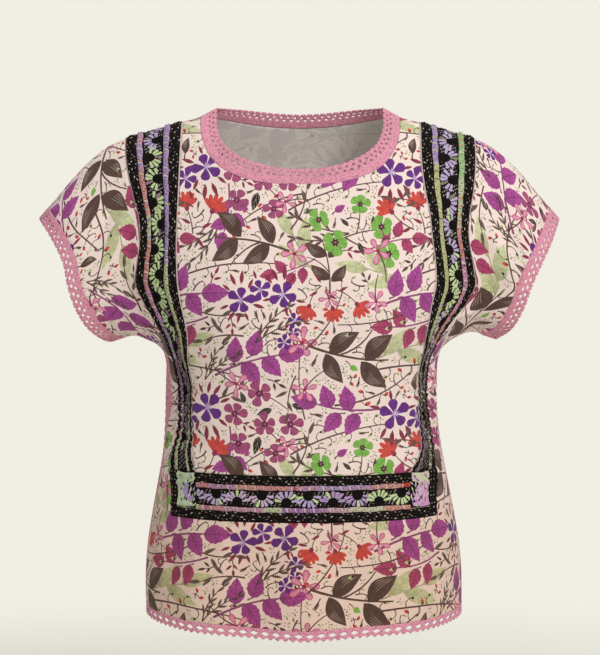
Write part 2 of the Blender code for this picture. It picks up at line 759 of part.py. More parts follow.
def neck_edging(name, seam_table, edge_table, cells, back):
    line = neck_line(seam_table, cells)
    seam_angle = angle_at(line[:, 0], line[:, 1])
    edge_line = neck_line(edge_table, 4 * cells)
    edge_angle = angle_at(edge_line[:, 0], edge_line[:, 1])
    if back:
        seam_angle, edge_angle = math.pi - seam_angle, math.pi - edge_angle
    seam = torso(seam_angle, line[:, 1])[0]
    edge = torso(edge_angle, edge_line[:, 1])[0]
    if not back:
        edge[:, 1] *= mix(NECK_LEAN, 1, eased(np.clip(-edge[:, 2] / NECK_LEAN_DROP, 0, 1)))
    step = -1 if back else 1
    make_lace(name, seam[::step], edge[::step], NECK_ROWS, turn=True)


def make_sleeve(side, name):
    """A cap sleeve and the two halves of its edging."""
    points = sleeve_points(side)
    wall("sleeve_" + name, [points[::-side]], CREAM, gap=WIDE_GAP)
    shares = armhole_ring(side)[2]
    seam = points[:, -1]
    edge = seam + cuff_way(side, shares) * CUFF_LACE_WIDTH
    under = int(np.argmax(shares > 1))
    halves = {"front": slice(0, under + 1), "back": slice(under, None)}
    for half, part in halves.items():
        piece = f"cuff_lace_{name}_{half}"
        make_lace(piece, seam[part][::-side], edge[part][::-side], CUFF_ROWS)


def hem_edging(name, seam):
    """The hem's edging hangs on from the cloth above it."""
    edge = seam.copy()
    edge[:, 2] -= HEM_LACE_WIDTH
    make_lace(name, seam, edge, HEM_ROWS)


def main():
    for obj in list(bpy.data.objects):
        bpy.data.objects.remove(obj, do_unlink=True)
    bpy.context.scene.collection.children.link(bpy.data.collections.new(COLLECTION))
    hem_front = make_front()
    back = torso(*back_angles())[0]
    wall("back_panel", [back], CREAM)
    hem = {}
    for side, name in ((-1, "left"), (1, "right")):
        strip = torso(*insertion_angles(side))[0]
        wall("side_lace_" + name, [strip], PINK, LACE)
        hem[side] = strip[:, -1]
        make_sleeve(side, name)
    neck_edging("neck_lace_front", NECK_SEAM_FRONT, NECK_EDGE_FRONT, NECK_CELLS, back=False)
    neck_edging("neck_lace_back", NECK_SEAM_BACK, NECK_EDGE_BACK, BACK_NECK_CELLS, back=True)
    hem_edging("hem_lace_front", hem_front)
    hem_edging("hem_lace_back", np.concatenate([hem[1], back[1:-1, -1], hem[-1]]))


main()
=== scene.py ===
"""Looks of a cap-sleeved blouse: printed cloth, drawn-thread bands and crocheted edgings.

Laid out as an add-on and run as a script. Each piece replaces the solid of the same name and lies on
the same form. Flat sizes and the form's tables are millimetres, places in space are metres.
"""

import math
from collections import namedtuple

import bmesh
import bpy
import numpy as np
from bpy.props import FloatProperty, FloatVectorProperty, PointerProperty
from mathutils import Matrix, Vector, geometry


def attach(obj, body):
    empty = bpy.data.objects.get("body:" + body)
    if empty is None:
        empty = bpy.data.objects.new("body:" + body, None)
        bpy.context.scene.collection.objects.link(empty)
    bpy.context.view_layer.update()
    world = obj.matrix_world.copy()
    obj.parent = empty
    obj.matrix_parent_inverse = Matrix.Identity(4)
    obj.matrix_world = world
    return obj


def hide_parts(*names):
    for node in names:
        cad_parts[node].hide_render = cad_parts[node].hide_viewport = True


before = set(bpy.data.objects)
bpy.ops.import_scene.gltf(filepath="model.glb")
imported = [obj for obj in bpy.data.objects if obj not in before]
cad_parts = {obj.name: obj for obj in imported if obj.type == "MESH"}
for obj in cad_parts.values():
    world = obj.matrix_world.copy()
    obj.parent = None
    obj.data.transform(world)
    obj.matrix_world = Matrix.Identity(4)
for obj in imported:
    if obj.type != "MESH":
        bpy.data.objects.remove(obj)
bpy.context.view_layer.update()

bl_info = {
    "name": "Drawn-thread blouse",
    "version": (1, 0, 0),
    "blender": (4, 5, 0),
    "location": "3D View > Sidebar > Blouse",
    "description": "Dresses the blouse's frame with printed cloth, bands and crocheted edgings",
    "category": "Object",
}

MM = 0.001


def metres(rows):
    """Rows of millimetres in metres."""
    return np.array(rows, float) / 1000


# The form's cross-sections: a rounded oval with this exponent, and its half-sizes at each height. Above the
# underarm the half-width is that of the oval which the armhole cuts.
OVAL = 2.2
SECTIONS = metres((
    # height, half-width, front depth, back depth
    (-640, 182, 131, 119),
    (-600, 184.5, 129, 116.5),
    (-570, 186, 127.5, 114),
    (-543, 185.5, 125.5, 111),
    (-508, 182.5, 122, 105.5),
    (-475, 177, 119, 100.5),
    (-441, 170.5, 116.5, 96.5),
    (-407, 164, 115.5, 93.5),
    (-375, 159, 116.5, 93),
    (-345, 156.5, 119.5, 94.5),
    (-316, 156.5, 123, 97),
    (-290, 159, 125.5, 99.5),
    (-270, 169, 126.8, 101.5),
    (-250, 185, 127, 103),
    (-225, 205, 125.2, 104),
    (-200, 219, 121, 104),
    (-160, 226, 110, 101),
    (-120, 234, 93, 94.5),
    (-90, 243, 80, 88),
    (-60, 255, 70, 80),
    (-30, 270, 63.5, 71.5),
    (0, 288, 59, 65),
    (60, 320, 52, 56),
))
# The shoulder line, out from the middle. Inside the neck it only guides the slope.
SHOULDER = metres((
    # distance from the middle, height
    (0, 56),
    (50, 40),
    (80, 16),
    (97, 0.5),
    (116, -10),
    (139, -16.5),
    (172, -25.8),
    (204, -35.5),
    (240, -50),
))
ROOF_DROP = 0.110
ROOF_ROUND = 1.75
# The blouse hangs a little to one side: the top leans to the left and the hem to the right.
LEAN = 0.0082
LEAN_MIDDLE = -0.30
# The bust: one soft fullness each side
BUST_X, BUST_Z, BUST_SPREAD, BUST_RISE = 0.074, -0.222, 0.046, 0.0065

# Neckline: the seam where the cloth stops, and the free edge of the lace
NECK_SEAM_FRONT = metres((
    # distance from the middle, height
    (0, -90.5),
    (40, -89),
    (69, -82),
    (92, -70),
    (107, -52),
    (114.5, -31),
    (116, -10),
))
NECK_SEAM_BACK = metres((
    (0, -19),
    (30, -17.8),
    (58, -15),
    (82, -11.8),
    (100, -10),
    (116, -10),
))
NECK_EDGE_FRONT = metres((
    (0, -73.5),
    (27, -71.5),
    (52, -65),
    (75, -54),
    (90, -39),
    (96.5, -20),
    (96.5, 0.5),
))
NECK_EDGE_BACK = metres((
    (0, -3),
    (25, -2),
    (50, 0),
    (70, 1.2),
    (84, 1.2),
    (96.5, 0.5),
))

# The upright bands of drawn-thread work, as seen from the front
BAND_LEFT = metres((
    # height, inner edge, outer edge
    (-469, -118, -148.5),
    (-416.5, -120, -150.5),
    (-402, -123.5, -150.5),
    (-375, -125.5, -143),
    (-340, -127.5, -141.5),
    (-315, -128.5, -143),
    (-291, -129, -148),
    (-260, -128, -160.5),
    (-243, -130.5, -170),
    (-223, -135, -181),
    (-202, -138.3, -189.5),
    (-183, -139.5, -187.5),
    (-156, -140.4, -184),
    (-130, -140, -185.5),
    (-100, -139.3, -194.5),
    (-67, -139, -203),
    (-10, -138.5, -208),
))
BAND_RIGHT = metres((
    # height, inner edge, outer edge
    (-469, 122, 153),
    (-416.5, 121.5, 153.5),
    (-402, 131, 151.5),
    (-370, 137, 147.5),
    (-345, 136.5, 145),
    (-315, 136.6, 145),
    (-283, 137.2, 149),
    (-260, 139, 160),
    (-243, 142, 173),
    (-225, 144.5, 188),
    (-205, 149, 197),
    (-183, 149, 194.8),
    (-149, 145.5, 189.5),
    (-125, 143.5, 191),
    (-100, 139, 196.5),
    (-72, 136, 200.5),
    (-10, 137, 202.5),
))
# The band across the front
BAND_TOP, BAND_BOTTOM = -0.4165, -0.4690
# Across a band: black braid, cord, openwork, cord, black braid
BAND_RELIEF = (
    # share of the width, rise
    (0.00, 0.0003),
    (0.09, 0.0018),
    (0.20, 0.0006),
    (0.26, 0.0016),
    (0.34, 0.0000),
    (0.66, 0.0000),
    (0.74, 0.0016),
    (0.80, 0.0006),
    (0.91, 0.0018),
    (1.00, 0.0003),
)

# The armhole leaves the band here and runs to the underarm
ARMHOLE_LEAVES = -0.243
UNDERARM = -0.288
ARMHOLE_BACK = metres((
    # height, distance from the middle
    (-288, 159.2),
    (-280, 161.8),
    (-265, 165),
    (-245, 169),
    (-220, 173.5),
    (-190, 177.5),
    (-160, 181.5),
    (-130, 187),
    (-100, 194),
    (-67, 201.5),
    (-10, 206),
))

# Cuff seams, down the front and down the back: share of the way, x, y, height
CUFF_LEFT = (
    (0.00, -0.2970, 0.000, -0.1155),
    (0.07, -0.2925, -0.020, -0.1195),
    (0.20, -0.2760, -0.046, -0.1405),
    (0.40, -0.2590, -0.063, -0.1720),
    (0.55, -0.2530, -0.064, -0.1990),
    (0.70, -0.2440, -0.057, -0.2270),
    (0.85, -0.2290, -0.039, -0.2530),
    (0.94, -0.2150, -0.018, -0.2650),
    (1.00, -0.2080, 0.000, -0.2680),
    (1.06, -0.2110, 0.018, -0.2650),
    (1.15, -0.2210, 0.040, -0.2520),
    (1.35, -0.2400, 0.062, -0.2150),
    (1.55, -0.2560, 0.067, -0.1820),
    (1.75, -0.2740, 0.055, -0.1480),
    (1.92, -0.2920, 0.022, -0.1200),
    (2.00, -0.2970, 0.000, -0.1155),
)
CUFF_RIGHT = (
    (0.00, 0.2900, 0.000, -0.1155),
    (0.07, 0.2870, -0.020, -0.1195),
    (0.20, 0.2760, -0.046, -0.1410),
    (0.40, 0.2600, -0.063, -0.1720),
    (0.55, 0.2480, -0.064, -0.1980),
    (0.70, 0.2390, -0.057, -0.2250),
    (0.85, 0.2270, -0.039, -0.2500),
    (0.94, 0.2180, -0.018, -0.2600),
    (1.00, 0.2130, 0.000, -0.2630),
    (1.06, 0.2150, 0.018, -0.2605),
    (1.15, 0.2220, 0.040, -0.2480),
    (1.35, 0.2370, 0.062, -0.2130),
    (1.55, 0.2510, 0.067, -0.1810),
    (1.75, 0.2690, 0.055, -0.1480),
    (1.92, 0.2850, 0.022, -0.1200),
    (2.00, 0.2900, 0.000, -0.1155),
)
# The way the sleeve points at its cuff, on top and under the arm, for the left sleeve
CUFF_WAY_TOP = (-0.66, 0.0, -0.75)
CUFF_WAY_UNDER = (-0.95, 0.0, -0.31)

# Side insertions: angle round the form of their front edge, and their width
INSERTION = (
    # height, left angle, right angle in degrees
    (-0.600, 90.0, 90.0),
    (-0.540, 89.5, 90.0),
    (-0.480, 86.5, 88.0),
    (-0.430, 80.0, 83.5),
    (-0.380, 77.0, 83.0),
    (-0.330, 76.0, 84.0),
    (-0.286, 76.0, 84.0),
)
INSERTION_WIDTH = 0.016
# How far an insertion laps over the seam before it on each side, and how far out it lies for that
INSERTION_LAP = {-1: 0.0055, 1: 0.0015}
LAP_OUT = 0.0003

# Hem: where the cloth stops, by angle from the middle of the front
HEM = (
    # degrees, height
    (0.0, -0.5890),
    (20.0, -0.5860),
    (45.0, -0.5835),
    (70.0, -0.5805),
    (95.0, -0.5780),
    (180.0, -0.5780),
)

# At the sides of the neck the edging leans back: its depth there, and how far down the lean fades
NECK_LEAN, NECK_LEAN_DROP = 0.38, 0.060

# Crocheted edgings
CUFF_LACE_WIDTH, HEM_LACE_WIDTH = 0.0172, 0.0125

# The largest folds: soft ridges (+) and troughs (-), on the front (-1) or the back (1), from one point to
# another
FOLDS = (
    # face, x, height, to x, to height, half-width, rise
    (-1, 196, -228, 206, -268, 13, -11),
    (-1, 218, -236, 216, -276, 12, 5),
    (-1, -186, -236, -170, -268, 12, 5),
    (-1, -206, -232, -196, -262, 13, -7),
    (-1, -134, -300, -132, -395, 12, -6),
    (-1, 141, -290, 142, -395, 12, -7),
    (-1, -160, -300, -158, -430, 14, 3.5),
    (-1, 154, -300, 158, -430, 14, 3),
    (-1, 4, -500, -2, -620, 30, 6),
    (-1, -56, -510, -60, -620, 24, -5),
    (-1, 62, -520, 70, -620, 24, -4.5),
    (-1, -115, -500, -124, -620, 24, 4.5),
    (-1, 118, -505, 130, -620, 24, 4),
    (-1, -90, -260, -20, -330, 22, 3),
    (-1, 100, -265, 30, -330, 22, 3),
    (1, -60, -330, -80, -620, 26, 6),
    (1, 0, -340, 4, -620, 26, -5),
    (1, 64, -320, 82, -620, 26, 6),
    (1, -125, -330, -135, -620, 22, -5),
    (1, 122, -330, 136, -620, 22, -5),
    (1, -190, -200, -215, -262, 14, -8),
    (1, 190, -200, 215, -262, 14, -8),
    (1, -150, -110, -80, -200, 26, 3.5),
    (1, 150, -110, 80, -200, 26, 3.5),
)
# Finer creases, in the same way
CREASES = (
    (-1, -190, -215, -160, -262, 6, -3.5),
    (-1, -182, -238, -158, -278, 5, 2.4),
    (-1, -200, -205, -176, -240, 5, 2),
    (-1, 200, -200, 180, -262, 6, 3),
    (-1, 204, -200, 212, -262, 6, 3),
    (-1, 178, -246, 160, -290, 6, -2.7),
    (-1, -132, -318, -92, -346, 6, -2.2),
    (-1, -131, -350, -80, -362, 6, 1.9),
    (-1, -131, -378, -70, -392, 7, -2.2),
    (-1, -128, -396, -84, -418, 6, 1.8),
    (-1, 137, -308, 96, -338, 6, -2.2),
    (-1, 137, -338, 86, -352, 6, 2),
    (-1, 136, -366, 74, -382, 7, -2.3),
    (-1, 132, -392, 80, -412, 6, 1.8),
    (-1, -60, -300, 10, -352, 12, -2.2),
    (-1, 52, -290, -20, -340, 12, -1.9),
    (-1, -84, -128, -56, -210, 10, -1.9),
    (-1, 92, -124, 62, -214, 10, -2),
    (-1, -30, -372, -36, -414, 10, 1.8),
    (-1, 40, -380, 46, -416, 10, 1.8),
    (-1, -30, -474, -24, -560, 9, -2.2),
    (-1, 32, -474, 36, -570, 10, -2.4),
    (-1, -86, -474, -94, -570, 10, 2.3),
    (-1, 88, -476, 98, -572, 10, 2.2),
    (-1, -140, -478, -152, -560, 10, -2.7),
    (-1, 146, -474, 160, -560, 10, -2.7),
    (-1, -152, -330, -148, -400, 6, -1.9),
    (-1, 150, -330, 151, -400, 6, -1.9),
    (1, -120, -300, -70, -344, 9, -2.4),
    (1, 122, -296, 68, -340, 9, -2.4),
    (1, -132, -330, -80, -366, 9, 2.2),
    (1, 130, -334, 78, -372, 9, 2.2),
    (1, -110, -372, -50, -392, 10, -2.2),
    (1, 108, -378, 46, -396, 10, -1.9),
    (1, -30, -430, -36, -560, 12, 2.4),
    (1, 34, -440, 42, -560, 12, 2.2),
    (1, -96, -430, -108, -560, 12, -2.4),
    (1, 94, -430, 106, -560, 12, -2.4),
    (1, -166, -150, -120, -230, 10, 2.4),
    (1, 168, -146, 122, -226, 10, 2.4),
    (1, -60, -60, -30, -150, 14, -1.9),
    (1, 70, -64, 36, -156, 14, -1.6),
)
# Creases in the sleeves: from one place to another, half-width, rise
SLEEVE_CREASES = (
    ((226, -56, -120), (252, -66, -196), 9, -3.5),
    ((212, -60, -128), (238, -68, -214), 8, 3),
    ((240, -40, -80), (272, -50, -150), 10, 2.4),
    ((206, -70, -170), (226, -64, -240), 8, -2.7),
    ((-228, -32, -52), (-262, -52, -128), 10, -3),
    ((-214, -52, -100), (-246, -64, -180), 9, -3.5),
    ((-204, -62, -132), (-234, -68, -214), 8, 3),
    ((-200, -72, -176), (-222, -64, -240), 8, -2.7),
    ((222, 54, -120), (252, 66, -192), 10, -3.5),
    ((210, 64, -150), (232, 66, -224), 9, 3),
    ((-222, 54, -116), (-256, 66, -188), 10, -3.5),
    ((-210, 64, -150), (-236, 66, -222), 9, 3),
)
# Small gathers beside the bands at the waist: how far from a band's edge, round which height and over
# what height they show, their spacing over a full turn, how they wander, and their rise
GATHER_REACH, GATHER_HEIGHT, GATHER_SPAN = 0.016, -0.362, 0.052
GATHER_SPACING, GATHER_WANDER, GATHER_RISE = 0.00135, 0.011, 0.0008


def smooth(table, at, column=1):
    """A smooth curve through a table's rows, read at one or many places of its first column."""
    rows = np.array(table, float)
    rows = rows[np.argsort(rows[:, 0])]
    x, y = rows[:, 0], rows[:, column]
    step = np.diff(x)
    slope = np.diff(y) / step
    inner = (slope[:-1] * step[1:] + slope[1:] * step[:-1]) / (step[:-1] + step[1:])
    tangent = np.concatenate([slope[:1], inner, slope[-1:]])
    at = np.clip(np.asarray(at, float), x[0], x[-1])
    i = np.clip(np.searchsorted(x, at) - 1, 0, len(x) - 2)
    t = (at - x[i]) / step[i]
    start = (1 + 2 * t) * (1 - t) ** 2 * y[i] + t * (1 - t) ** 2 * step[i] * tangent[i]
    end = t * t * (3 - 2 * t) * y[i + 1] - t * t * (1 - t) * step[i] * tangent[i + 1]
    return start + end


def lean(z):
    return LEAN * (LEAN_MIDDLE - z)


def unit(v):
    return v / np.maximum(np.linalg.norm(v, axis=-1, keepdims=True), 1e-12)


def form(angle, z):
    """A point of the plain form: angle 0 is the middle of the front, and +-180 degrees of the back."""
    angle, z = np.broadcast_arrays(np.asarray(angle, float), np.asarray(z, float))
    s, c = np.sin(angle), np.cos(angle)
    reach = (np.abs(s) ** OVAL + np.abs(c) ** OVAL) ** (-1 / OVAL)
    x = smooth(SECTIONS, z, 1) * reach * s
    depth = np.where(c > 0, smooth(SECTIONS, z, 2), smooth(SECTIONS, z, 3))
    down = np.clip((smooth(SHOULDER, np.abs(x), 1) - z) / ROOF_DROP, 0, 1)
    roof = (1 - (1 - down) ** ROOF_ROUND) ** (1 / ROOF_ROUND)
    y = -depth * reach * c * roof
    for side in (-1, 1):
        off = ((x - side * BUST_X) ** 2 + (z - BUST_Z) ** 2) / BUST_SPREAD**2
        y = y - np.where(c > 0, BUST_RISE * np.exp(-off), 0)
    return np.stack([x + lean(z), y, z], -1)


def angle_at(x, z):
    """The front angle at which the form is at x at this height."""
    u = np.clip((x - lean(z)) / smooth(SECTIONS, z, 1), -0.9999, 0.9999)
    share = np.abs(u) ** OVAL
    return np.sign(u) * np.arctan((share / (1 - share)) ** (1 / OVAL))


def form_normal(angle, z):
    """The form's outward direction."""
    step_a, step_z = 1e-3, 2e-4
    across = form(angle + step_a, z) - form(angle - step_a, z)
    up = form(angle, z + step_z) - form(angle, z - step_z)
    return unit(np.cross(across, up))


def fold_lines():
    """Each fold's two ends in space, its half-width and its rise."""
    lines = []
    for face, *sizes in FOLDS + CREASES:
        x0, z0, x1, z1, width, rise = metres(sizes)
        ends = []
        for x, z in ((x0, z0), (x1, z1)):
            a = angle_at(np.clip(x, -0.2, 0.2), z)
            a = np.where(face < 0, a, math.pi - a)
            p = form(a, z)
            p[..., 0] = x
            ends.append(p)
        lines.append((ends[0], ends[1], width, rise))
    for start, end, *sizes in SLEEVE_CREASES:
        lines.append((metres(start), metres(end), *metres(sizes)))
    return lines


FOLD_LINES = fold_lines()


def folded(p, normal):
    """Points moved out or in by the folds near them."""
    shift = np.zeros(p.shape[:-1])
    for start, end, width, rise in FOLD_LINES:
        way = end - start
        t = np.clip(((p - start) @ way) / (way @ way), 0, 1)
        off = np.linalg.norm(p - start - t[..., None] * way, axis=-1)
        fade = np.sin(math.pi * np.clip(0.12 + 0.88 * t, 0, 0.94) ** 0.8)
        shift = shift + rise * fade * np.exp(-((off / width) ** 2))
    return p + normal * shift[..., None]


def gathers(p):
    """How far the cloth stands out in small gathers beside the bands at the waist."""
    x, z = p[..., 0], p[..., 2]
    rise = np.zeros(x.shape)
    for side in (-1, 1):
        for column in (1, 2):
            off = np.abs(x - band_edge(side, z, column))
            near = np.exp(-((off / GATHER_REACH) ** 2))
            near = near * np.exp(-(((z - GATHER_HEIGHT) / GATHER_SPAN) ** 2))
            wave = np.sin(z / GATHER_SPACING + 1.7 * np.sin(z / GATHER_WANDER + side) + column)
            rise = rise + GATHER_RISE * near * wave
    return np.where(p[..., 1] < 0, rise, 0)


def torso(angle, z):
    """Points and outward directions of the folded form."""
    angle, z = np.broadcast_arrays(np.asarray(angle, float), np.asarray(z, float))
    normal = form_normal(angle, z)
    plain = form(angle, z)
    return folded(plain, normal) + normal * gathers(plain)[..., None], normal


def band_edge(side, z, column):
    return smooth(BAND_LEFT if side < 0 else BAND_RIGHT, z, column)


def insertion_edges(side, z):
    """The angles of a side insertion's front and back edges, which lie its width apart."""
    front = side * np.radians(smooth(INSERTION, z, 1 if side < 0 else 2))
    turn = side * 1e-2
    reach = np.linalg.norm(form(front + turn, z) - form(front, z), axis=-1) / 1e-2
    return front, front + side * INSERTION_WIDTH / reach


def mix(a, b, share):
    return a + (b - a) * share


def between(at, known, values):
    """Rows of values read between the places where they are known."""
    return np.stack([np.interp(at, known, column) for column in np.transpose(values)], -1)


def points_at(points, shares):
    """The points at these shares of the length of a line through many points."""
    points = np.asarray(points, float)
    length = length_along(points)
    return between(np.asarray(shares, float) * length[-1], length, points)


def ridge(x):
    """The height of the shoulder line above x."""
    return smooth(SHOULDER, np.abs(x - lean(0.0)))


def even(cells):
    return np.linspace(0, 1, cells + 1)


def eased(share):
    return share * share * (3 - 2 * share)


def length_along(points):
    """Lengths from the first point of a line to each of its points."""
    return np.concatenate([[0], np.cumsum(np.linalg.norm(np.diff(points, axis=0), axis=1))])


# How far the cloth runs round the form: from the middle of the front, by x at the chest for the front
# panel, and by angle at the hips for the cloth beside and below the bands and for the back
CHEST_HEIGHT, HIP_HEIGHT, HIP_EASE = -0.21, -0.52, 0.96
CHEST_X = np.linspace(-0.2, 0.2, 400)
CHEST_RUN = length_along(form(angle_at(CHEST_X + lean(CHEST_HEIGHT), CHEST_HEIGHT), CHEST_HEIGHT))
CHEST_RUN -= np.interp(0, CHEST_X, CHEST_RUN)
HIP_ANGLE = np.linspace(-2.2, 5.2, 1100)
HIP_RUN = length_along(form(HIP_ANGLE, HIP_HEIGHT)) * HIP_EASE
HIP_RUN -= np.interp(0, HIP_ANGLE, HIP_RUN)
# How far it runs down from the shoulder line, which is more than its drop where the shoulder rounds
DROP_END, ROOF_DEPTH = 0.12, 0.062
DROP = np.concatenate([np.linspace(0, 1, 120) ** 2 * DROP_END, [1.0]])
ROOF = (1 - (1 - np.clip(DROP / ROOF_DROP, 0, 1)) ** ROOF_ROUND) ** (1 / ROOF_ROUND)
FALL = length_along(np.stack([DROP, ROOF_DEPTH * ROOF], -1))


def down_to_flat(x, z):
    top = ridge(x)
    return -top + np.interp(top - z, DROP, FALL)


def flat_to_down(x, q):
    top = ridge(x)
    return top - np.interp(q + top, FALL, DROP)


def x_to_flat(x, z):
    """The front panel's flat place of (x, height), in millimetres."""
    return np.stack([np.interp(x - lean(z), CHEST_X, CHEST_RUN), -down_to_flat(x, z)], -1) / MM


def flat_to_x(flat):
    p, q = flat[:, 0] * MM, -flat[:, 1] * MM
    x = np.interp(p, CHEST_RUN, CHEST_X)
    z = flat_to_down(x, q)
    return x + lean(z), z


def angle_to_flat(angle, z):
    """The flat place of (angle, height) on the cloth beside the bands or on the back."""
    x = form(angle, z)[..., 0]
    return np.stack([np.interp(angle, HIP_ANGLE, HIP_RUN), -down_to_flat(x, z)], -1) / MM


def flat_to_angle(flat):
    p, q = flat[:, 0] * MM, -flat[:, 1] * MM
    angle = np.interp(p, HIP_RUN, HIP_ANGLE)
    z = -q
    for _ in range(6):
        z = flat_to_down(form(angle, z)[:, 0], q)
    return angle, z


# How far cloth, crochet and bands stand off the form, and their thickness
CLOTH_OUT, CLOTH_THICK = 0.0010, 0.0006
LACE_OUT, LACE_THICK = 0.0013, 0.0013
BAND_OUT, BAND_THICK = 0.0011, 0.0009


def raised(points_normals, rise):
    points, normals = points_normals
    return points + normals * np.asarray(rise)[..., None]


def front_place(flat):
    x, z = flat_to_x(flat)
    return raised(torso(angle_at(x, z), z), CLOTH_OUT)


def round_place(flat):
    return raised(torso(*flat_to_angle(flat)), CLOTH_OUT)


def band_top(side, share):
    """The height of the shoulder line above a band at a share of its width."""
    top = np.full(np.shape(share), -0.03)
    for _ in range(6):
        top = ridge(mix(band_edge(side, top, 1), band_edge(side, top, 2), share))
    return top


def neck_line(table, cells=240):
    """(x, height) along a neckline table, from the left neck point to the right one."""
    rows = np.array(table, float)
    along = length_along(rows)
    fine = np.linspace(0, along[-1], 200)
    x = np.minimum(smooth(np.stack([along, rows[:, 0]], -1), fine), rows[-1, 0])
    half = np.stack([x, smooth(np.stack([along, rows[:, 1]], -1), fine)], -1)
    line = np.concatenate([half[::-1] * (-1, 1), half[1:]])
    line[:, 0] += lean(line[:, 1])
    return points_at(line, even(cells))


def top_line(neck, ends):
    """A neckline with the shoulder seam added from each neck point out to the ends."""
    left = mix(ends[0], neck[0, 0], even(24)[:-1])
    right = mix(neck[-1, 0], ends[1], even(24)[1:])
    seams = [np.stack([x, ridge(x)], -1) for x in (left, right)]
    return np.concatenate([seams[0], neck, seams[1]])


def hem_height(angle):
    turned = np.abs((np.degrees(angle) + 180) % 360 - 180)
    return smooth(HEM, turned)


def back_edge(side, z):
    """The angle of the back panel's side edge: the armhole, and below it the insertion."""
    top = band_top(side, 1.0)
    shift = abs(band_edge(side, top, 2) - lean(0.0)) - smooth(ARMHOLE_BACK, top)
    up = np.clip((z - UNDERARM) / (top - UNDERARM), 0, 1)
    x = np.clip((smooth(ARMHOLE_BACK, z) + shift * up) / smooth(SECTIONS, z, 1), 0, 0.9999) ** OVAL
    armhole = math.pi - np.arctan((x / (1 - x)) ** (1 / OVAL))
    below = np.clip((ARMHOLE_LEAVES - z) / (ARMHOLE_LEAVES - UNDERARM), 0, 1) ** 2
    return side * mix(armhole, np.abs(insertion_edges(side, z)[1]), below)


# Points down a long edge crowd towards its top by this power, where the shoulder rounds
CROWDED = 1.6
# Points down an armhole as far as the band
ARMHOLE_CELLS = 90


def armhole_front(side):
    """(angle, height) down the front of an armhole, shoulder to the insertion's front edge."""
    top = band_top(side, 1.0)
    z = mix(top, ARMHOLE_LEAVES, even(ARMHOLE_CELLS) ** CROWDED)
    beside = np.stack([angle_at(band_edge(side, z, 2), z), z], -1)
    share = even(40)[1:]
    z = mix(ARMHOLE_LEAVES, UNDERARM, np.sin(share * math.pi / 2))
    start = angle_at(band_edge(side, z, 2), z)
    under = np.stack([mix(start, insertion_edges(side, z)[0], share), z], -1)
    return np.concatenate([beside, under])


def armhole_back(side):
    """(angle, height) down the back of an armhole, shoulder to the insertion's back edge."""
    z = mix(band_top(side, 1.0), UNDERARM, even(130) ** CROWDED)
    return np.stack([back_edge(side, z), z], -1)


def cuff_way(side, shares):
    """The way the sleeve points at its cuff."""
    under = (1 - np.cos(math.pi * shares)) / 2
    way = mix(np.array(CUFF_WAY_TOP), np.array(CUFF_WAY_UNDER), under[..., None])
    return unit(way * (-side, 1, 1))


SLEEVE_CELLS, SLEEVE_ROWS = 180, 44
# The share of a sleeve's length over which its outward directions turn from the body's to its own
TURN_SHARE = 0.2


def sleeve_grid(side):
    """Fine points and outward directions of a sleeve, and the shares round it."""
    front, back = armhole_front(side), armhole_back(side)[::-1]
    ring = np.concatenate([front, back])
    start, normals = form(ring[:, 0], ring[:, 1]), form_normal(ring[:, 0], ring[:, 1])
    start[-1] = start[0]
    normals[0] = normals[-1] = unit(normals[0] + normals[-1])
    length = length_along(start)
    under = (length[len(front) - 1] + length[len(front)]) / 2
    known = np.where(length < under, length / under, 1 + (length - under) / (length[-1] - under))
    shares = np.linspace(0, 2, SLEEVE_CELLS + 1)
    start, normals = between(shares, known, start), unit(between(shares, known, normals))
    table = CUFF_LEFT if side < 0 else CUFF_RIGHT
    end = np.stack([smooth(table, shares, k) for k in (1, 2, 3)], -1)
    along = np.roll(start[:-1], -3, axis=0) - np.roll(start[:-1], 3, axis=0)
    along = np.concatenate([along, along[:1]])
    out = -side * unit(np.cross(along, normals))
    way = cuff_way(side, shares)
    reach = np.linalg.norm(end - start, axis=1, keepdims=True)
    rows = []
    for t in even(SLEEVE_ROWS):
        leave = start * (1 + 2 * t) * (1 - t) ** 2 + out * reach * t * (1 - t) ** 2
        arrive = end * t * t * (3 - 2 * t) - way * reach * t * t * (1 - t)
        rows.append(leave + arrive)
    plain = np.stack(rows, axis=1)
    round_way = np.gradient(plain, axis=0)
    round_way[0] = round_way[-1] = (round_way[0] + round_way[-1]) / 2
    facing = side * unit(np.cross(round_way, np.gradient(plain, axis=1)))
    near = np.clip(even(SLEEVE_ROWS) / TURN_SHARE, 0, 1)[None, :, None]
    facing = unit(mix(normals[:, None], facing, near))
    return folded(plain, facing), facing, shares


def read_grid(grid, u, v):
    """Values of a grid between its points, at shares u and v of its two sides."""
    columns, rows = grid.shape[0] - 1, grid.shape[1] - 1
    a, b = np.clip(u, 0, 1) * columns, np.clip(v, 0, 1) * rows
    i, j = np.minimum(a.astype(int), columns - 1), np.minimum(b.astype(int), rows - 1)
    s, t = (a - i)[:, None], (b - j)[:, None]
    near = grid[i, j] * (1 - s) + grid[i + 1, j] * s
    far = grid[i, j + 1] * (1 - s) + grid[i + 1, j + 1] * s
    return near * (1 - t) + far * t


# A printed or sewn shape: its outline, its colour, and the place, directions and strength of its veins
Shape = namedtuple("Shape", "points ink origin along across tone")
# A flat sheet cut into triangles: which shape each shows, and how far each point is lifted
Cut = namedtuple("Cut", "flat triangles shown shapes lift")
# Triangle rows in a staggered grid, the clearance from edges, and the longest piece of a shape's edge,
# all as shares of the cell
ROW_SHARE, CLEAR_SHARE, EDGE_SHARE = 0.87, 0.42, 1.3
# The half of the bake layout that each side of a sheet fills, and the margin round it
LAYOUT_SIZE, LAYOUT_MARGIN = (0.485, 0.99), 0.005


def linear(hex_colour):
    """A six-figure sRGB hex colour as linear red, green, blue and alpha."""
    values = [int(hex_colour[k : k + 2], 16) / 255 for k in (0, 2, 4)]
    return (*(v / 12.92 if v < 0.04045 else ((v + 0.055) / 1.055) ** 2.4 for v in values), 1.0)


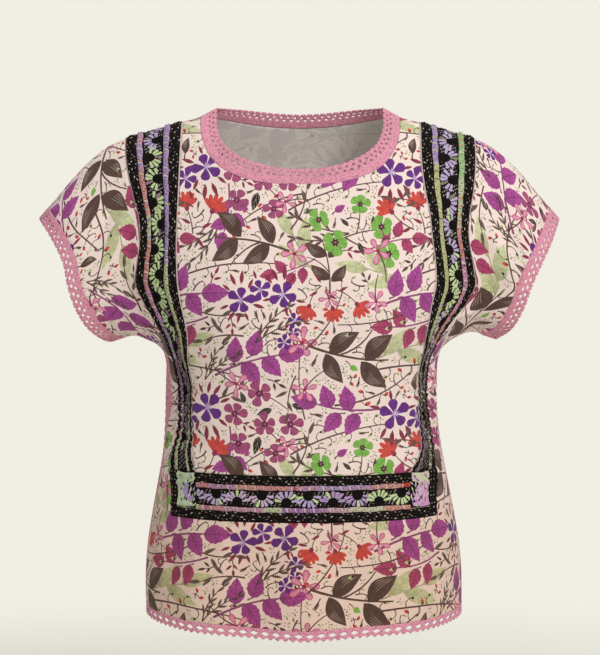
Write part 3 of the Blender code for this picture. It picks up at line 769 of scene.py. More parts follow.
def counter_clockwise(points):
    points = np.asarray(points, float)
    x, y = points[:, 0], points[:, 1]
    area = (x * np.roll(y, -1) - np.roll(x, -1) * y).sum()
    return points if area > 0 else points[::-1]


def divided(points, longest):
    """A closed line with its long edges divided."""
    after = np.roll(points, -1, axis=0)
    cells = np.maximum(np.ceil(np.linalg.norm(after - points, axis=1) / longest).astype(int), 1)
    if cells.max() == 1:
        return points
    return np.concatenate([a + (b - a) * even(n)[:-1, None] for a, b, n in zip(points, after, cells)])


def inside(points, loop):
    """Which points lie inside a closed line."""
    x, y = points[:, :1], points[:, 1:]
    ax, ay = loop[:, 0], loop[:, 1]
    bx, by = np.roll(ax, -1), np.roll(ay, -1)
    crosses = (ay > y) != (by > y)
    rise = np.where(np.abs(by - ay) < 1e-12, 1e-12, by - ay)
    return (crosses & (x < (bx - ax) * (y - ay) / rise + ax)).sum(1) % 2 == 1


def grid_inside(outline, holes, cell):
    """Staggered grid points inside an outline, clear of it and of its holes."""
    low, high = outline.min(0), outline.max(0)
    rows = np.arange(low[1] + cell * 0.45, high[1], cell * ROW_SHARE)
    columns = np.arange(low[0] - cell, high[0] + cell, cell)
    grid = np.stack(np.meshgrid(columns, rows), -1)
    grid[1::2, :, 0] += cell / 2
    grid = grid.reshape(-1, 2)
    grid = grid[inside(grid, outline)]
    if len(grid) and len(holes) < 3:
        for loop in (outline, *holes):
            near = np.linalg.norm(grid[:, None] - loop[None], axis=-1).min(1)
            grid = grid[near > cell * CLEAR_SHARE]
    return grid


def cut_flat(outline, holes, shapes, cell, crests=()):
    """Cuts a flat sheet into triangles that follow its edge, its holes and its printed shapes.

    Crests are rows of (x, y, rise) where the sheet stands up further than its form.
    """
    printed = [divided(shape.points, cell * EDGE_SHARE) for shape in shapes]
    loops = [counter_clockwise(loop) for loop in (outline, *holes, *printed)]
    points = [Vector(p) for loop in loops for p in loop]
    starts = np.concatenate([[0], np.cumsum([len(loop) for loop in loops])])
    faces = [list(range(a, b)) for a, b in zip(starts[:-1], starts[1:])]
    first_crest = len(points)
    points += [Vector(row[:2]) for row in crests]
    points += [Vector(p) for p in grid_inside(loops[0], loops[1 : len(holes) + 1], cell)]
    found = geometry.delaunay_2d_cdt(points, [], faces, 0, 1e-5)
    triangles, covered = [], {}
    for triangle, covers in zip(found[2], found[5]):
        if 0 in covers and not any(1 <= k <= len(holes) for k in covers):
            for k in covers:
                if k > len(holes):
                    covered.setdefault(k, []).append(len(triangles))
            triangles.append(triangle)
    middles = np.array([[tuple(found[0][i]) for i in triangle] for triangle in triangles]).mean(1)
    shown = np.full(len(triangles), -1)
    for k in sorted(covered):
        under = np.array(covered[k])
        shown[under[inside(middles[under], loops[k])]] = k - len(holes) - 1
    used = sorted({i for triangle in triangles for i in triangle})
    place = {old: new for new, old in enumerate(used)}
    triangles = [[place[i] for i in triangle] for triangle in triangles]
    flat = np.array([tuple(found[0][i]) for i in used])
    lift = np.zeros(len(used))
    for new, old in enumerate(used):
        for source in found[3][old]:
            if first_crest <= source < first_crest + len(crests):
                lift[new] = crests[source - first_crest][2]
    return Cut(flat, triangles, shown, shapes, lift)


def corner_values(cut, ground):
    """Colour, flat place, pattern and bake layout of every triangle's corners."""
    corners = np.array(cut.triangles).ravel()
    flat = cut.flat[corners]
    plain = Shape(None, ground, np.zeros(2), np.zeros(2), np.zeros(2), 0.0)
    shown = np.repeat(cut.shown, 3)
    values = list(zip(*cut.shapes, plain))[1:]
    inks, origins, alongs, acrosses, tones = (np.array(value)[shown] for value in values)
    off = flat - origins
    pattern = np.stack([(off * alongs).sum(1), (off * acrosses).sum(1), tones], -1)
    share = (flat - cut.flat.min(0)) / np.ptp(cut.flat, axis=0)
    layout = share * LAYOUT_SIZE + LAYOUT_MARGIN
    laid = np.concatenate([flat, np.zeros((len(flat), 1))], axis=1)
    return {"ink": inks, "flat": laid, "motif": pattern}, layout


def make_sheet(name, cut, place, ground, thickness, materials, weld=False):
    """A thin shell laid on its place in space, with its colours, its flat places and its bake layout."""
    where = place(cut.flat, cut.lift) if cut.lift.any() else place(cut.flat)
    bm = bmesh.new()
    verts = [bm.verts.new(p) for p in where]
    for triangle in cut.triangles:
        bm.faces.new([verts[i] for i in triangle])
    mesh = bpy.data.meshes.new(name)
    bm.to_mesh(mesh)
    values, layout = corner_values(cut, ground)
    for key, kind in (("ink", "FLOAT_COLOR"), ("flat", "FLOAT_VECTOR"), ("motif", "FLOAT_VECTOR")):
        layer = mesh.attributes.new(key, kind, "CORNER")
        layer.data.foreach_set("color" if key == "ink" else "vector", values[key].ravel())
    mesh.uv_layers.new(name="OFBake").data.foreach_set("uv", layout.ravel())
    if weld:
        bm.clear()
        bm.from_mesh(mesh)
        bmesh.ops.remove_doubles(bm, verts=bm.verts, dist=2e-5)
        bm.to_mesh(mesh)
    bm.free()
    mesh.shade_smooth()
    faces = len(mesh.polygons)
    piece = bpy.data.objects.new(name, mesh)
    bpy.context.scene.collection.objects.link(piece)
    for finish in materials:
        mesh.materials.append(finish)
    shell = piece.modifiers.new("Wall", "SOLIDIFY")
    shell.offset = -1.0
    shell.thickness = thickness
    shell.material_offset = shell.material_offset_rim = len(materials) - 1
    graph = bpy.context.evaluated_depsgraph_get()
    made = bpy.data.meshes.new_from_object(
        piece.evaluated_get(graph), preserve_all_data_layers=True, depsgraph=graph
    )
    piece.modifiers.clear()
    piece.data = made
    made.name = name
    part_layout(made, faces)
    return piece


def part_layout(mesh, outer_faces):
    """Lays the inner side's half of the bake layout beside the outer side's."""
    layer = mesh.uv_layers["OFBake"].data
    values = np.empty(len(layer) * 2)
    layer.foreach_get("uv", values)
    values = values.reshape(-1, 2)
    first = mesh.polygons[outer_faces].loop_start if len(mesh.polygons) > outer_faces else len(layer)
    values[first:, 0] += 0.5
    layer.foreach_set("uv", values.ravel())


def hang(piece, node):
    """Puts a finished sheet in its solid's place: hides the solid and hangs the sheet from the root."""
    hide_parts(node)
    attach(piece, "root")


def add(tree, kind, inputs=None, **settings):
    """Adds a node with its settings, and links or sets its inputs."""
    node = tree.nodes.new("ShaderNode" + kind)
    for key, value in settings.items():
        setattr(node, key, value)
    for key, value in (inputs or {}).items():
        if isinstance(value, bpy.types.NodeSocket):
            tree.links.new(value, node.inputs[key])
        else:
            node.inputs[key].default_value = value
    return node


def figure(tree, operation, first, second=0.0, clamp=False):
    """The result of a sum on one or two values."""
    return add(tree, "Math", {0: first, 1: second}, operation=operation, use_clamp=clamp).outputs[0]


def ranged(tree, value, low, high, to_low=0.0, to_high=1.0, eased_ends=False):
    """A value carried from one range to another, and held at its ends."""
    inputs = {"Value": value, "From Min": low, "From Max": high, "To Min": to_low, "To Max": to_high}
    kind = "SMOOTHSTEP" if eased_ends else "LINEAR"
    return add(tree, "MapRange", inputs, interpolation_type=kind).outputs[0]


def times(tree, first, second):
    """One vector or colour multiplied by another, or by a value."""
    return add(tree, "VectorMath", {0: first, 1: second}, operation="MULTIPLY").outputs[0]


def noise(tree, place, scale, detail, roughness=0.5):
    inputs = {"Vector": place, "Scale": scale, "Detail": detail, "Roughness": roughness}
    return add(tree, "TexNoise", inputs).outputs[0]


def blend(tree, share, first, second):
    """One colour gone over to another by a share."""
    return add(tree, "Mix", {0: share, 6: first, 7: second}, data_type="RGBA").outputs[2]


def attribute(tree, name, output="Vector"):
    return add(tree, "Attribute", attribute_name=name).outputs[output]


def printed_values(tree):
    """The flat place and colour of a printed or sewn shape, and its pattern's three values."""
    pattern = add(tree, "SeparateXYZ", {"Vector": attribute(tree, "motif")})
    return attribute(tree, "flat"), attribute(tree, "ink", "Color"), pattern.outputs


def finished(tree, shader, colour, height, strength, distance, values):
    """Gives a shader its colour, its relief and its uniform values."""
    tree.links.new(colour, shader.inputs["Base Color"])
    bump = add(tree, "Bump", {"Height": height, "Strength": strength, "Distance": distance})
    tree.links.new(bump.outputs[0], shader.inputs["Normal"])
    for name, value in values.items():
        shader.inputs[name].default_value = value


def new_material(name):
    """An empty material with its shader, and the tree it is built in."""
    made = bpy.data.materials.new(name)
    made.use_nodes = True
    tree = made.node_tree
    return made, tree, tree.nodes["Principled BSDF"]


# Mesh sizes in millimetres: bands, edgings and insertions
BAND_CELL, LACE_CELL, INSERTION_CELL = 3.2, 3.0, 3.5


def reverse(line):
    return line[::-1]


def joined(*lines):
    """One closed line from several that follow on, without their doubled ends."""
    return np.concatenate([np.asarray(line)[:-1] for line in lines])


def inner_line(side):
    """(x, height) down a band's inner edge."""
    z = mix(band_top(side, 0.0), BAND_TOP, even(110) ** CROWDED)
    return np.stack([band_edge(side, z, 1), z], -1)


def outer_line(side, start):
    """(x, height) down a band's outer edge from a height to the band across's lower edge."""
    z = mix(start, BAND_BOTTOM, even(60))
    return np.stack([band_edge(side, z, 2), z], -1)


def across_line(z, column):
    """(x, height) along the band across from left to right."""
    x = mix(band_edge(-1, z, column), band_edge(1, z, column), even(90))
    return np.stack([x, np.full(len(x), z)], -1)


def centre_outline():
    ends = [inner_line(side)[0, 0] for side in (-1, 1)]
    top = top_line(neck_line(NECK_SEAM_FRONT), ends)
    line = joined(reverse(across_line(BAND_TOP, 1)), reverse(inner_line(-1)), top, inner_line(1))
    return x_to_flat(*line.T)


def insertion_line(side, column, bottom):
    """(angle, height) down one edge of a side insertion."""
    z = mix(UNDERARM, bottom, even(110))
    return np.stack([insertion_edges(side, z)[column], z], -1)


def hem_line(start, end, cells=200):
    angle = mix(start, end, even(cells))
    return np.stack([angle, hem_height(angle)], -1)


def hem_ends(edge=0):
    """The angle of the insertion's front or back edge at the hem on each side."""
    return [float(insertion_edges(side, hem_height(side * math.pi / 2))[edge]) for side in (-1, 1)]


def outer_outline():
    """The cloth beside and below the bands, from hem to underarms."""
    left, right = hem_ends()
    edges = [outer_line(-1, ARMHOLE_LEAVES), across_line(BAND_BOTTOM, 2), outer_line(1, ARMHOLE_LEAVES)]
    for line in edges:
        line[:, 0] = angle_at(*line.T)
    line = joined(
        hem_line(left, right),
        reverse(insertion_line(1, 0, hem_height(right))),
        reverse(armhole_front(1)[ARMHOLE_CELLS:]),
        edges[2],
        reverse(edges[1]),
        reverse(edges[0]),
        armhole_front(-1)[ARMHOLE_CELLS:],
        insertion_line(-1, 0, hem_height(left)),
    )
    return angle_to_flat(*line.T)


def back_outline():
    ends = [float(band_edge(side, band_top(side, 1.0), 2)) for side in (-1, 1)]
    top = top_line(neck_line(NECK_SEAM_BACK), ends)
    top[:, 0] = math.pi - angle_at(*top.T)
    left, right = hem_ends(edge=1)
    sides = [
        np.concatenate([armhole_back(side), insertion_line(side, 1, hem_height(end))[1:]])
        for side, end in ((-1, left), (1, right))
    ]
    sides[0][:, 0] += 2 * math.pi
    line = joined(hem_line(right, 2 * math.pi + left), reverse(sides[0]), top, sides[1])
    return angle_to_flat(*line.T)


# The width of every band laid flat, in millimetres
BAND_FLAT = 56.0


def on_band(x, z, share, lift):
    """Places on a band, by x, height and share of its width, lifted by its relief and by more."""
    return raised(torso(angle_at(x, z), z), BAND_OUT + band_rise(share) + lift)


def band_place(side):
    """The way from an upright band's flat places, across and down, to space."""

    def place(flat, lift=0.0):
        share = np.clip(flat[:, 0] / BAND_FLAT, 0, 1)
        if side < 0:
            share = 1 - share
        q = -flat[:, 1] * MM
        z = -q
        for _ in range(8):
            x = mix(band_edge(side, z, 1), band_edge(side, z, 2), share)
            z = flat_to_down(x, q)
        return on_band(x, z, share, lift)

    return place


def band_outline(side):
    shares = even(24)

    def flat(share, z):
        x = mix(band_edge(side, z, 1), band_edge(side, z, 2), share)
        across = share if side > 0 else 1 - share
        return np.stack([across * BAND_FLAT, -down_to_flat(x, z) / MM], -1)

    upper = flat(shares, band_top(side, shares))[::side]
    lower = flat(shares, np.full(len(shares), BAND_TOP))[::side]
    lines = []
    for share in (0.0, 1.0)[::side]:
        z = mix(band_top(side, share), BAND_TOP, even(110) ** CROWDED)
        lines.append(flat(np.full(len(z), share), z))
    return joined(lower, reverse(lines[1]), reverse(upper), lines[0])


def across_outline():
    """The band across with its corners, as x round the form and height."""
    z = mix(BAND_TOP, BAND_BOTTOM, even(20))
    left = np.stack([band_edge(-1, z, 2), z], -1)
    right = np.stack([band_edge(1, z, 2), z], -1)
    line = joined(across_line(BAND_BOTTOM, 2), reverse(right), reverse(across_line(BAND_TOP, 2)), left)
    return np.stack([np.interp(line[:, 0] - lean(line[:, 1]), CHEST_X, CHEST_RUN), line[:, 1]], -1) / MM


def across_place(flat, lift=0.0):
    """From the band across's flat places to space."""
    z = flat[:, 1] * MM
    x = np.interp(flat[:, 0] * MM, CHEST_RUN, CHEST_X) + lean(z)
    return on_band(x, z, (BAND_TOP - z) / (BAND_TOP - BAND_BOTTOM), lift)


def band_rise(share):
    """How far a band stands up across its width: braid, cord, openwork, cord, braid."""
    return np.interp(share, *np.transpose(BAND_RELIEF))


def insertion_outline(side):
    line = insertion_line(side, 0, float(hem_height(side * math.pi / 2)))
    down = line[:, 1] / MM
    width = (INSERTION_WIDTH + INSERTION_LAP[side]) / MM
    left = np.stack([np.zeros(len(down)), down], -1)
    right = np.stack([np.full(len(down), width), down], -1)
    bottom = np.stack([even(6) * width, np.full(7, down[-1])], -1)
    top = np.stack([even(6) * width, np.full(7, down[0])], -1)
    return joined(bottom, reverse(right), reverse(top), left)


def insertion_place(side):
    """A side insertion on the form; its front edge laps a little over the seam."""

    def place(flat):
        z = flat[:, 1] * MM
        front, back = insertion_edges(side, z)
        lap = INSERTION_LAP[side] / INSERTION_WIDTH
        share = flat[:, 0] / ((INSERTION_WIDTH + INSERTION_LAP[side]) / MM)
        share = share if side > 0 else 1 - share
        angle = mix(front, back, share * (1 + lap) - lap)
        return raised(torso(angle, z), LACE_OUT + LAP_OUT)

    return place


def sleeve_flat(side):
    """A sleeve's flat outline and the way from its flat places to space."""
    points, facing, _ = sleeve_grid(side)
    half = SLEEVE_CELLS // 2
    points, facing = (np.concatenate([g[half:-1], g[: half + 1]]) for g in (points, facing))
    middle = points[:, SLEEVE_ROWS // 2]
    run = length_along(middle)
    reach = np.linalg.norm(np.diff(points, axis=1), axis=2).sum(1)
    run -= run[-1] / 2
    at = np.linspace(0, 1, len(run))
    way = -side

    def place(flat):
        u = np.interp(way * flat[:, 0] * MM, run, at)
        v = -flat[:, 1] * MM / np.interp(u, at, reach)
        return read_grid(points, u, v) + unit(read_grid(facing, u, v)) * CLOTH_OUT

    across = way * run / MM
    top = np.stack([across, np.zeros(len(run))], -1)
    bottom = np.stack([across, -reach / MM], -1)
    steps = even(8)
    ends = [np.stack([np.full(9, across[k]), -reach[k] / MM * steps], -1) for k in (0, -1)]
    return joined(bottom, reverse(ends[1]), reverse(top), ends[0]), place


# Directions of a hole's eight corners
EIGHT_WAYS = np.arange(8) * math.pi / 4


def lace_flat(length, width, pitch, rows, teeth):
    """A crocheted edging laid flat: its outline with a scalloped free edge, and its holes."""
    count = max(round(length / pitch), 1)
    pitch = length / count
    x = np.concatenate([np.arange(count * 3) * pitch / 3, [length]])
    seam = np.stack([x, np.zeros(len(x))], -1)
    sides = np.linspace(0, width * (1 - teeth[0][1]), 5)
    right = np.stack([np.full(5, length), sides], -1)
    left = np.stack([np.zeros(5), sides], -1)
    tooth = np.array(teeth)
    out = width * (1 - tooth[:, 1])
    scallops = [np.stack([(k + tooth[:, 0]) * pitch, out], -1) for k in range(count)]
    scallop = np.concatenate([*scallops, [[length, out[0]]]])
    outline = joined(seam, right, reverse(scallop), reverse(left))
    holes = []
    for share, long, high, shift, full in rows:
        reach = np.where(np.arange(8) % 2, full, 1.0)
        ring = np.stack([np.cos(EIGHT_WAYS) * reach * long / 2, np.sin(EIGHT_WAYS) * reach * high / 2], -1)
        for k in range(count + 1):
            middle = np.array([(k + shift) * pitch, share * width])
            if long / 2 + 0.6 < middle[0] < length - long / 2 - 0.6:
                holes.append(ring + middle)
    return outline, holes


def lace_place(seam, edge, outward, width):
    """The way from an edging's flat places to space, between its seam and its free edge.

    Its right side faces where the middle line, scaled and shifted by outward, points.
    """
    length = length_along(seam)[-1]
    shares = even(400)
    a, b = points_at(seam, shares), points_at(edge, shares)
    middle = (a + b) / 2
    normal = unit(np.cross(np.gradient(middle, axis=0), b - a))
    if (normal * (middle * outward[0] + outward[1])).sum() < 0:
        normal = -normal

    def place(flat):
        u = np.clip(flat[:, 0] * MM / length, 0, 1)
        v = flat[:, 1] / width
        low, high, away = (between(u, shares, line) for line in (a, b, normal))
        return mix(low, high, v[:, None]) + unit(away) * LACE_OUT

    return place, length / MM


# Inks of the print, sRGB
PURPLE, LILAC, MAGENTA, MAUVE = "73358F", "D2B4E2", "AC4C94", "B95A84"
BARK, BROWN, WINE, RED = "5C433A", "5F463D", "95374C", "E8574A"
GREEN, PETAL_PINK, ROSE_INK, OLIVE = "8CC459", "F3A9C2", "E35E90", "C6C79A"
BUD_GREEN, DARK, STEM = "CBD39A", "2B1C1C", "8C4A72"


def spin(points, degrees):
    c, s = math.cos(math.radians(degrees)), math.sin(math.radians(degrees))
    return np.asarray(points, float) @ np.array([[c, s], [-s, c]])


def motif(points, ink, at=(0, 0), turn=0.0, along=1.0, across=1.0, tone=0.0):
    """A printed shape drawn along +x, turned and put in place, with veins along and across it."""
    ways = spin([[1.0 / along, 0], [0, 1.0 / across]], turn)
    at = np.asarray(at, float)
    return Shape(spin(points, turn) + at, linear(ink), at, ways[0], ways[1], tone)


def leaf(at, turn, length, width, ink, tone=-0.7, veins=6.0, full=0.78, ragged=0.0, cells=6):
    u = even(cells)[1:-1]
    half = width / 2 * np.sin(math.pi * u**full)
    half = half * (1 - ragged * (np.arange(len(u)) % 2))
    upper = np.stack([u * length, half], -1)
    lower = np.stack([u * length, -half], -1)[::-1]
    outline = np.concatenate([[[0, 0]], upper, [[length, 0]], lower])
    return motif(outline, ink, at, turn, length / veins, width / 3.0, tone)


def petal(at, turn, length, width, ink, tone=-0.5, streaks=2.5, start=0.1):
    u = np.array([start, 0.42, 0.7, 0.92, 1.0, 0.92, 0.7, 0.42, start])
    v = np.array([0.16, 0.62, 1.0, 0.72, 0.0, -0.72, -1.0, -0.62, -0.16])
    return motif(np.stack([u * length, v * width / 2], -1), ink, at, turn, 1e6, width / 2 / streaks, tone)


def brown_leaf(at, turn, length, width, side=1):
    """A broad dark leaf with a bent middle and a few fine pale lines along one half."""
    u = even(10)
    half = width / 2 * np.sin(math.pi * u**0.82)
    bend = side * 0.07 * length * np.sin(math.pi * u)
    upper = np.stack([u * length, half + bend], -1)
    lower = np.stack([u * length, bend - half], -1)[-2:0:-1]
    shapes = [motif(np.concatenate([upper, lower]), BROWN, at, turn, length / 4, width, 0.0)]
    for k, share in enumerate((0.0, 0.26, 0.5, 0.74)):
        t = np.linspace(0.34 + 0.04 * k, 0.84 - 0.05 * k, 5)
        x = t * length
        y = np.interp(t, u, bend) + side * share * np.interp(t, u, half)
        thin = np.array([0.1, 0.26, 0.3, 0.26, 0.1])
        line = np.concatenate([np.stack([x, y + thin], -1), np.stack([x, y - thin], -1)[::-1]])
        shapes.append(motif(line, "A08D84", at, turn))
    return shapes


def star(at, radius, points, deep, ink, turn=0.0):
    a = np.arange(points * 2) * math.pi / points
    reach = np.where(np.arange(points * 2) % 2, deep, 1.0) * radius
    return motif(np.stack([np.cos(a) * reach, np.sin(a) * reach], -1), ink, at, turn)


def arc(start, end, bow, cells=5):
    """A curved line between two places, bowed to the left by a share of its length."""
    start, end = np.asarray(start, float), np.asarray(end, float)
    t = even(cells)[:, None]
    side = np.array([-(end - start)[1], (end - start)[0]]) * bow * 2
    return start + (end - start) * t + side * t * (1 - t)


def stalk(start, end, bow, width=1.1, ink=BARK, cells=5):
    line = arc(start, end, bow, cells)
    way = unit(np.gradient(line, axis=0))
    off = np.stack([-way[:, 1], way[:, 0]], -1) * width * 0.7
    thin = np.linspace(1.15, 0.7, len(line))[:, None]
    return motif(np.concatenate([line + off * thin, (line - off * thin)[::-1]]), ink)


# Flowers: ink, width and tone of the petals, their streaks, and the stars of the heart: size, points,
# depth between points and ink
FLOWERS = {
    "purple": (PURPLE, 0.68, -0.35, 1.2, ((0.36, 6, 0.3, LILAC),)),
    "green": (GREEN, 0.88, -0.2, 1.2, ((0.36, 6, 0.55, DARK), (0.13, 3, 1.0, MAUVE))),
    "mauve": (MAUVE, 0.8, -0.7, 1.7, ((0.34, 6, 0.6, "5A2740"), (0.13, 3, 1.0, MAUVE))),
    "pink": (ROSE_INK, 0.46, -0.3, 1.2, ((0.14, 3, 1.0, WINE),)),
}


def flower(kind, x, y, radius, turn):
    """A flower with five uneven petals; those of the pink one are outlined."""
    ink, wide, tone, streaks, heart = FLOWERS[kind]
    shapes = []
    for k in range(5):
        uneven = 1 + 0.09 * math.sin(2.7 * k + turn)
        a = turn + 72 * k + 5 * math.sin(1.9 * k + turn)
        shapes.append(petal((x, y), a, radius * uneven, radius * wide, ink, tone, streaks))
        if kind == "pink":
            middle = spin([radius * 0.16, 0], a) + (x, y)
            shapes.append(petal(middle, a, radius * 0.76 * uneven, radius * 0.3, PETAL_PINK, 0.0))
    for size, points, deep, heart_ink in heart:
        shapes.append(star((x, y), radius * size, points, deep, heart_ink, turn))
    return shapes


def flowers(kind, rows):
    """Flowers of one kind, each by x, y, radius and turn."""
    return [shape for row in rows for shape in flower(kind, *row)]


def leaves(rows, wide, ink, tone, veins=3.0, **settings):
    """Leaves of one kind, each by place, turn and length, with their width as a share of the length."""
    return [leaf(at, turn, long, long * wide, ink, tone, veins, **settings) for at, turn, long in rows]


def fan(at, turn, size):
    """A half-open red flower with its dark calyx."""
    shapes = []
    for k, a in enumerate((-54, -33, -11, 10, 32, 53)):
        reach = size * (0.86, 0.98, 1.0, 1.04, 0.95, 0.84)[k]
        shapes.append(petal(at, turn + a, reach, size * 0.27, RED, -0.4, 1.4, 0.12))
    base = np.asarray(at) - spin([size * 0.16, 0], turn)
    shapes.append(leaf(base, turn, size * 0.42, size * 0.3, WINE, 0.0, cells=4))
    return shapes


def bud(at, turn, size):
    """A red bud at the end of a curled stalk from this place."""
    end = np.asarray(at, float) + spin([size * 1.25, size * 0.5], turn)
    return [
        stalk(at, end, 0.42, 0.8, BARK, 4),
        leaf(end, turn + 70, size, size * 0.66, RED, -0.3, 2.0, 0.8, cells=5),
        leaf(end, turn + 70, size * 0.34, size * 0.4, DARK, 0.0, cells=3),
    ]


def hook(at, turn, size):
    """A hooked stalk with a tiny pale bud."""
    end = np.asarray(at, float) + spin([size, size * 0.25], turn)
    return [
        stalk(at, end, 0.55, 0.75, BARK, 4),
        leaf(end, turn - 70, size * 0.7, size * 0.42, BUD_GREEN, -0.1, 2.0, cells=4),
        leaf(end, turn - 70, size * 0.3, size * 0.3, DARK, 0.0, cells=3),
    ]


def purple_cluster():
    slim = (
        ((-2, 14), 96, 13), ((-15, 8), 165, 13), ((-10, -13), 238, 15), ((-3, -17), 262, 19),
        ((5, -17), 292, 17), ((12, -14), 305, 15), ((14, 4), 8, 12), ((20, -18), 226, 14),
        ((31, -21), 285, 12), ((38, 9), 158, 16), ((40, 5), 186, 14), ((42, -10), 240, 14),
        ((50, -16), 262, 18), ((57, -15), 292, 17), ((64, -9), 318, 13), ((54, 18), 72, 14),
        ((60, 16), 48, 15), ((48, 18), 108, 12), ((67, 8), 20, 13),
    )
    heads = ((0, 0, 17, 20), (27, -8, 13, 65), (52, 3, 17, 40))
    return leaves(slim, 0.3, WINE, -0.3, full=0.9, cells=4) + flowers("purple", heads)


def leaf_branch(ink=MAGENTA, count=5):
    """Ragged magenta leaves with dark veins on one branching stem."""
    shapes = [stalk((0, 0), (74, 6), 0.1, 1.7, STEM, 7)]
    rows = (
        ((74, 6), -6, 32, 21), ((46, 12), 60, 30, 20), ((58, 8), -62, 29, 20), ((26, 9), 72, 30, 20),
        ((36, 8), -70, 31, 21),
    )
    for (x, y), turn, length, width in rows[:count]:
        shapes.append(stalk((x - 6, y - 1), (x, y), 0.1, 1.3, STEM, 3))
        shapes.append(leaf((x, y), turn, length, width, ink, -0.6, 6.0, 0.72, 0.12, cells=11))
    return shapes


def crimson_branch():
    """The same branch in crimson."""
    return leaf_branch("B4476E", 4)


def brown_branch():
    """Dark brown leaves with fine pale lines, and an outlined pink flower at the tip of their stem."""
    shapes = [stalk((0, 0), (88, -4), -0.1, 1.8, BARK, 8)]
    shapes.append(stalk((34, -6), (66, 26), -0.2, 1.3, BARK, 5))
    for row in (
        ((62, -8), 50, 42, 20, 1),
        ((58, -9), -38, 42, 20, -1),
        ((24, -6), 44, 40, 19, 1),
        ((20, -6), -52, 37, 18, -1),
    ):
        shapes += brown_leaf(*row)
    return shapes + flower("pink", -6, 2, 17, 12)


def berry_branch():
    """A curved branch with red buds on curled stalks."""
    line = arc((0, 0), (96, 30), -0.16, 8)
    shapes = [stalk((0, 0), (96, 30), -0.16, 1.5, BARK, 8)]
    buds = ((70, 7), (-60, 8), (80, 7), (-45, 7), (60, 8), (-70, 6), (65, 7), (20, 8))
    for at, (turn, size) in zip(line[1:], buds):
        shapes += bud(at, turn + 12, size)
    return shapes


def green_spray():
    """Green flowers and small dark leaves on thin brown stems."""
    shapes = [stalk((0, 0), (48, 26), 0.12, 1.2, BARK), stalk((10, 8), (62, 2), -0.14, 1.2, BARK)]
    shapes.append(stalk((22, 16), (20, 46), -0.1, 1.1, BARK))
    dark = (((26, 6), -55, 17), ((40, 26), 100, 15), ((12, 22), 150, 14), ((52, 12), 30, 14))
    heads = ((0, 0, 15, 10), (50, 30, 14, 44), (64, 0, 15, 75), (20, 50, 12, 20), (-24, 22, 13, 62))
    return shapes + leaves(dark, 0.36, DARK, 0.35, full=0.8, cells=5) + flowers("green", heads)


def fan_spray():
    shapes = []
    for (x, y), turn, size, root, bow in (
        ((0, 0), 128, 22, (26, -22), 0.16),
        ((34, 2), 95, 21, (40, -28), -0.1),
        ((66, -4), 60, 22, (46, -30), -0.2),
    ):
        shapes.append(stalk(root, (x, y), bow))
        shapes += fan((x, y), turn, size)
    slim = (((22, -20), 200, 14), ((38, -16), 150, 14), ((52, -22), 20, 14), ((46, -34), 300, 14))
    return shapes + leaves(slim, 0.3, WINE, -0.2, cells=4)


def mauve_group():
    """Veined mauve flowers with dark hearts, and dark pointed leaves between them."""
    shapes = [stalk((2, 30), (56, 14), 0.14, 1.0, BARK, 6), stalk((20, -4), (60, -30), 0.12, 1.0, BARK, 5)]
    dark = (((40, 12), 210, 19), ((30, -20), 262, 22), ((60, 20), -10, 17), ((10, 14), 120, 14))
    heads = (
        (0, 0, 13.5, 8), (24, 27, 14, 50), (34, -6, 13, 30), (8, -32, 13, 66), (62, -2, 13.5, 14),
        (50, -36, 12, 40),
    )
    return shapes + leaves(dark, 0.42, DARK, 0.4, full=0.75, cells=5) + flowers("mauve", heads)


def fern_twigs():
    """A forked brown twig with comb-edged leaflets."""
    shapes = []
    for end, bow in (((60, 14), 0.12), ((48, 34), 0.16)):
        line = arc((0, 0), end, bow, 6)
        shapes.append(stalk((0, 0), end, bow, 1.2, BROWN, 6))
        heading = math.degrees(math.atan2(end[1], end[0]))
        for k in range(1, 7):
            for side in (-1, 1):
                if (k + side) % 3:
                    slant = heading + side * (34 - 2 * k)
                    shapes.append(leaf(line[k], slant, 17 - k, 4.6, BROWN, 0.0, 3.0, 0.9, 0.62, cells=13))
    return shapes


def curl():
    """Two small hooked stalks with pale buds, from one short twig."""
    twig = stalk((-8, 0), (8, 1), 0.22, 1.2, BARK, 4)
    return [twig, *hook((-2, 2), 62, 7.0), *hook((4, 2), -70, 6.5)]


def slips(ink=WINE):
    """Three slim leaves on a short stalk."""
    slim = (((3, 1), 8, 11), ((-3, 0), 48, 9), ((-2, -1), -42, 10))
    return [stalk((-9, -2), (3, 1), 0.14, 0.9, BARK, 4), *leaves(slim, 0.32, ink, -0.2, cells=4)]


def brown_slips():
    """Three slim brown leaves on a short stalk."""
    return slips(BROWN)


def comb():
    """One comb-edged leaflet on its stalk."""
    leaflet = leaf((-3, 1), 8, 12, 4.6, BROWN, 0.0, 3.0, 0.9, 0.6, cells=11)
    return [stalk((-7, 0), (8, 0), 0.1, 0.9, BROWN, 3), leaflet]


def berries():
    """Two red berries on curled stalks."""
    return bud((-5, -3), 20, 6.0) + bud((0, -2), 120, 5.5)


def small_leaf():
    """A small ragged magenta leaf on a stalk."""
    blade = leaf((-5, 0), 10, 14, 9, MAGENTA, -0.5, 5.0, 0.74, 0.12, cells=7)
    return [stalk((-9, -2), (-4, 0), 0.2, 1.1, BARK, 3), blade]


def specks():
    """A tiny pale bud with a dark tip, and dots."""
    tiny = leaf((-3, -1), 35, 5.5, 3.0, BUD_GREEN, -0.1, 2.0, cells=4)
    dots = [star(spot, 0.95, 3, 0.85, BARK) for spot in ((2.5, -2), (-1, 4), (4.5, 1.5))]
    return [tiny, star((-3, -1), 1.2, 3, 0.8, DARK), *dots]


def lone_leaf():
    """A brown leaf by itself on a curved stalk."""
    return [stalk((-14, -3), (-4, 0), 0.2, 1.4, BARK, 4), *brown_leaf((-5, 0), 8, 24, 11)]


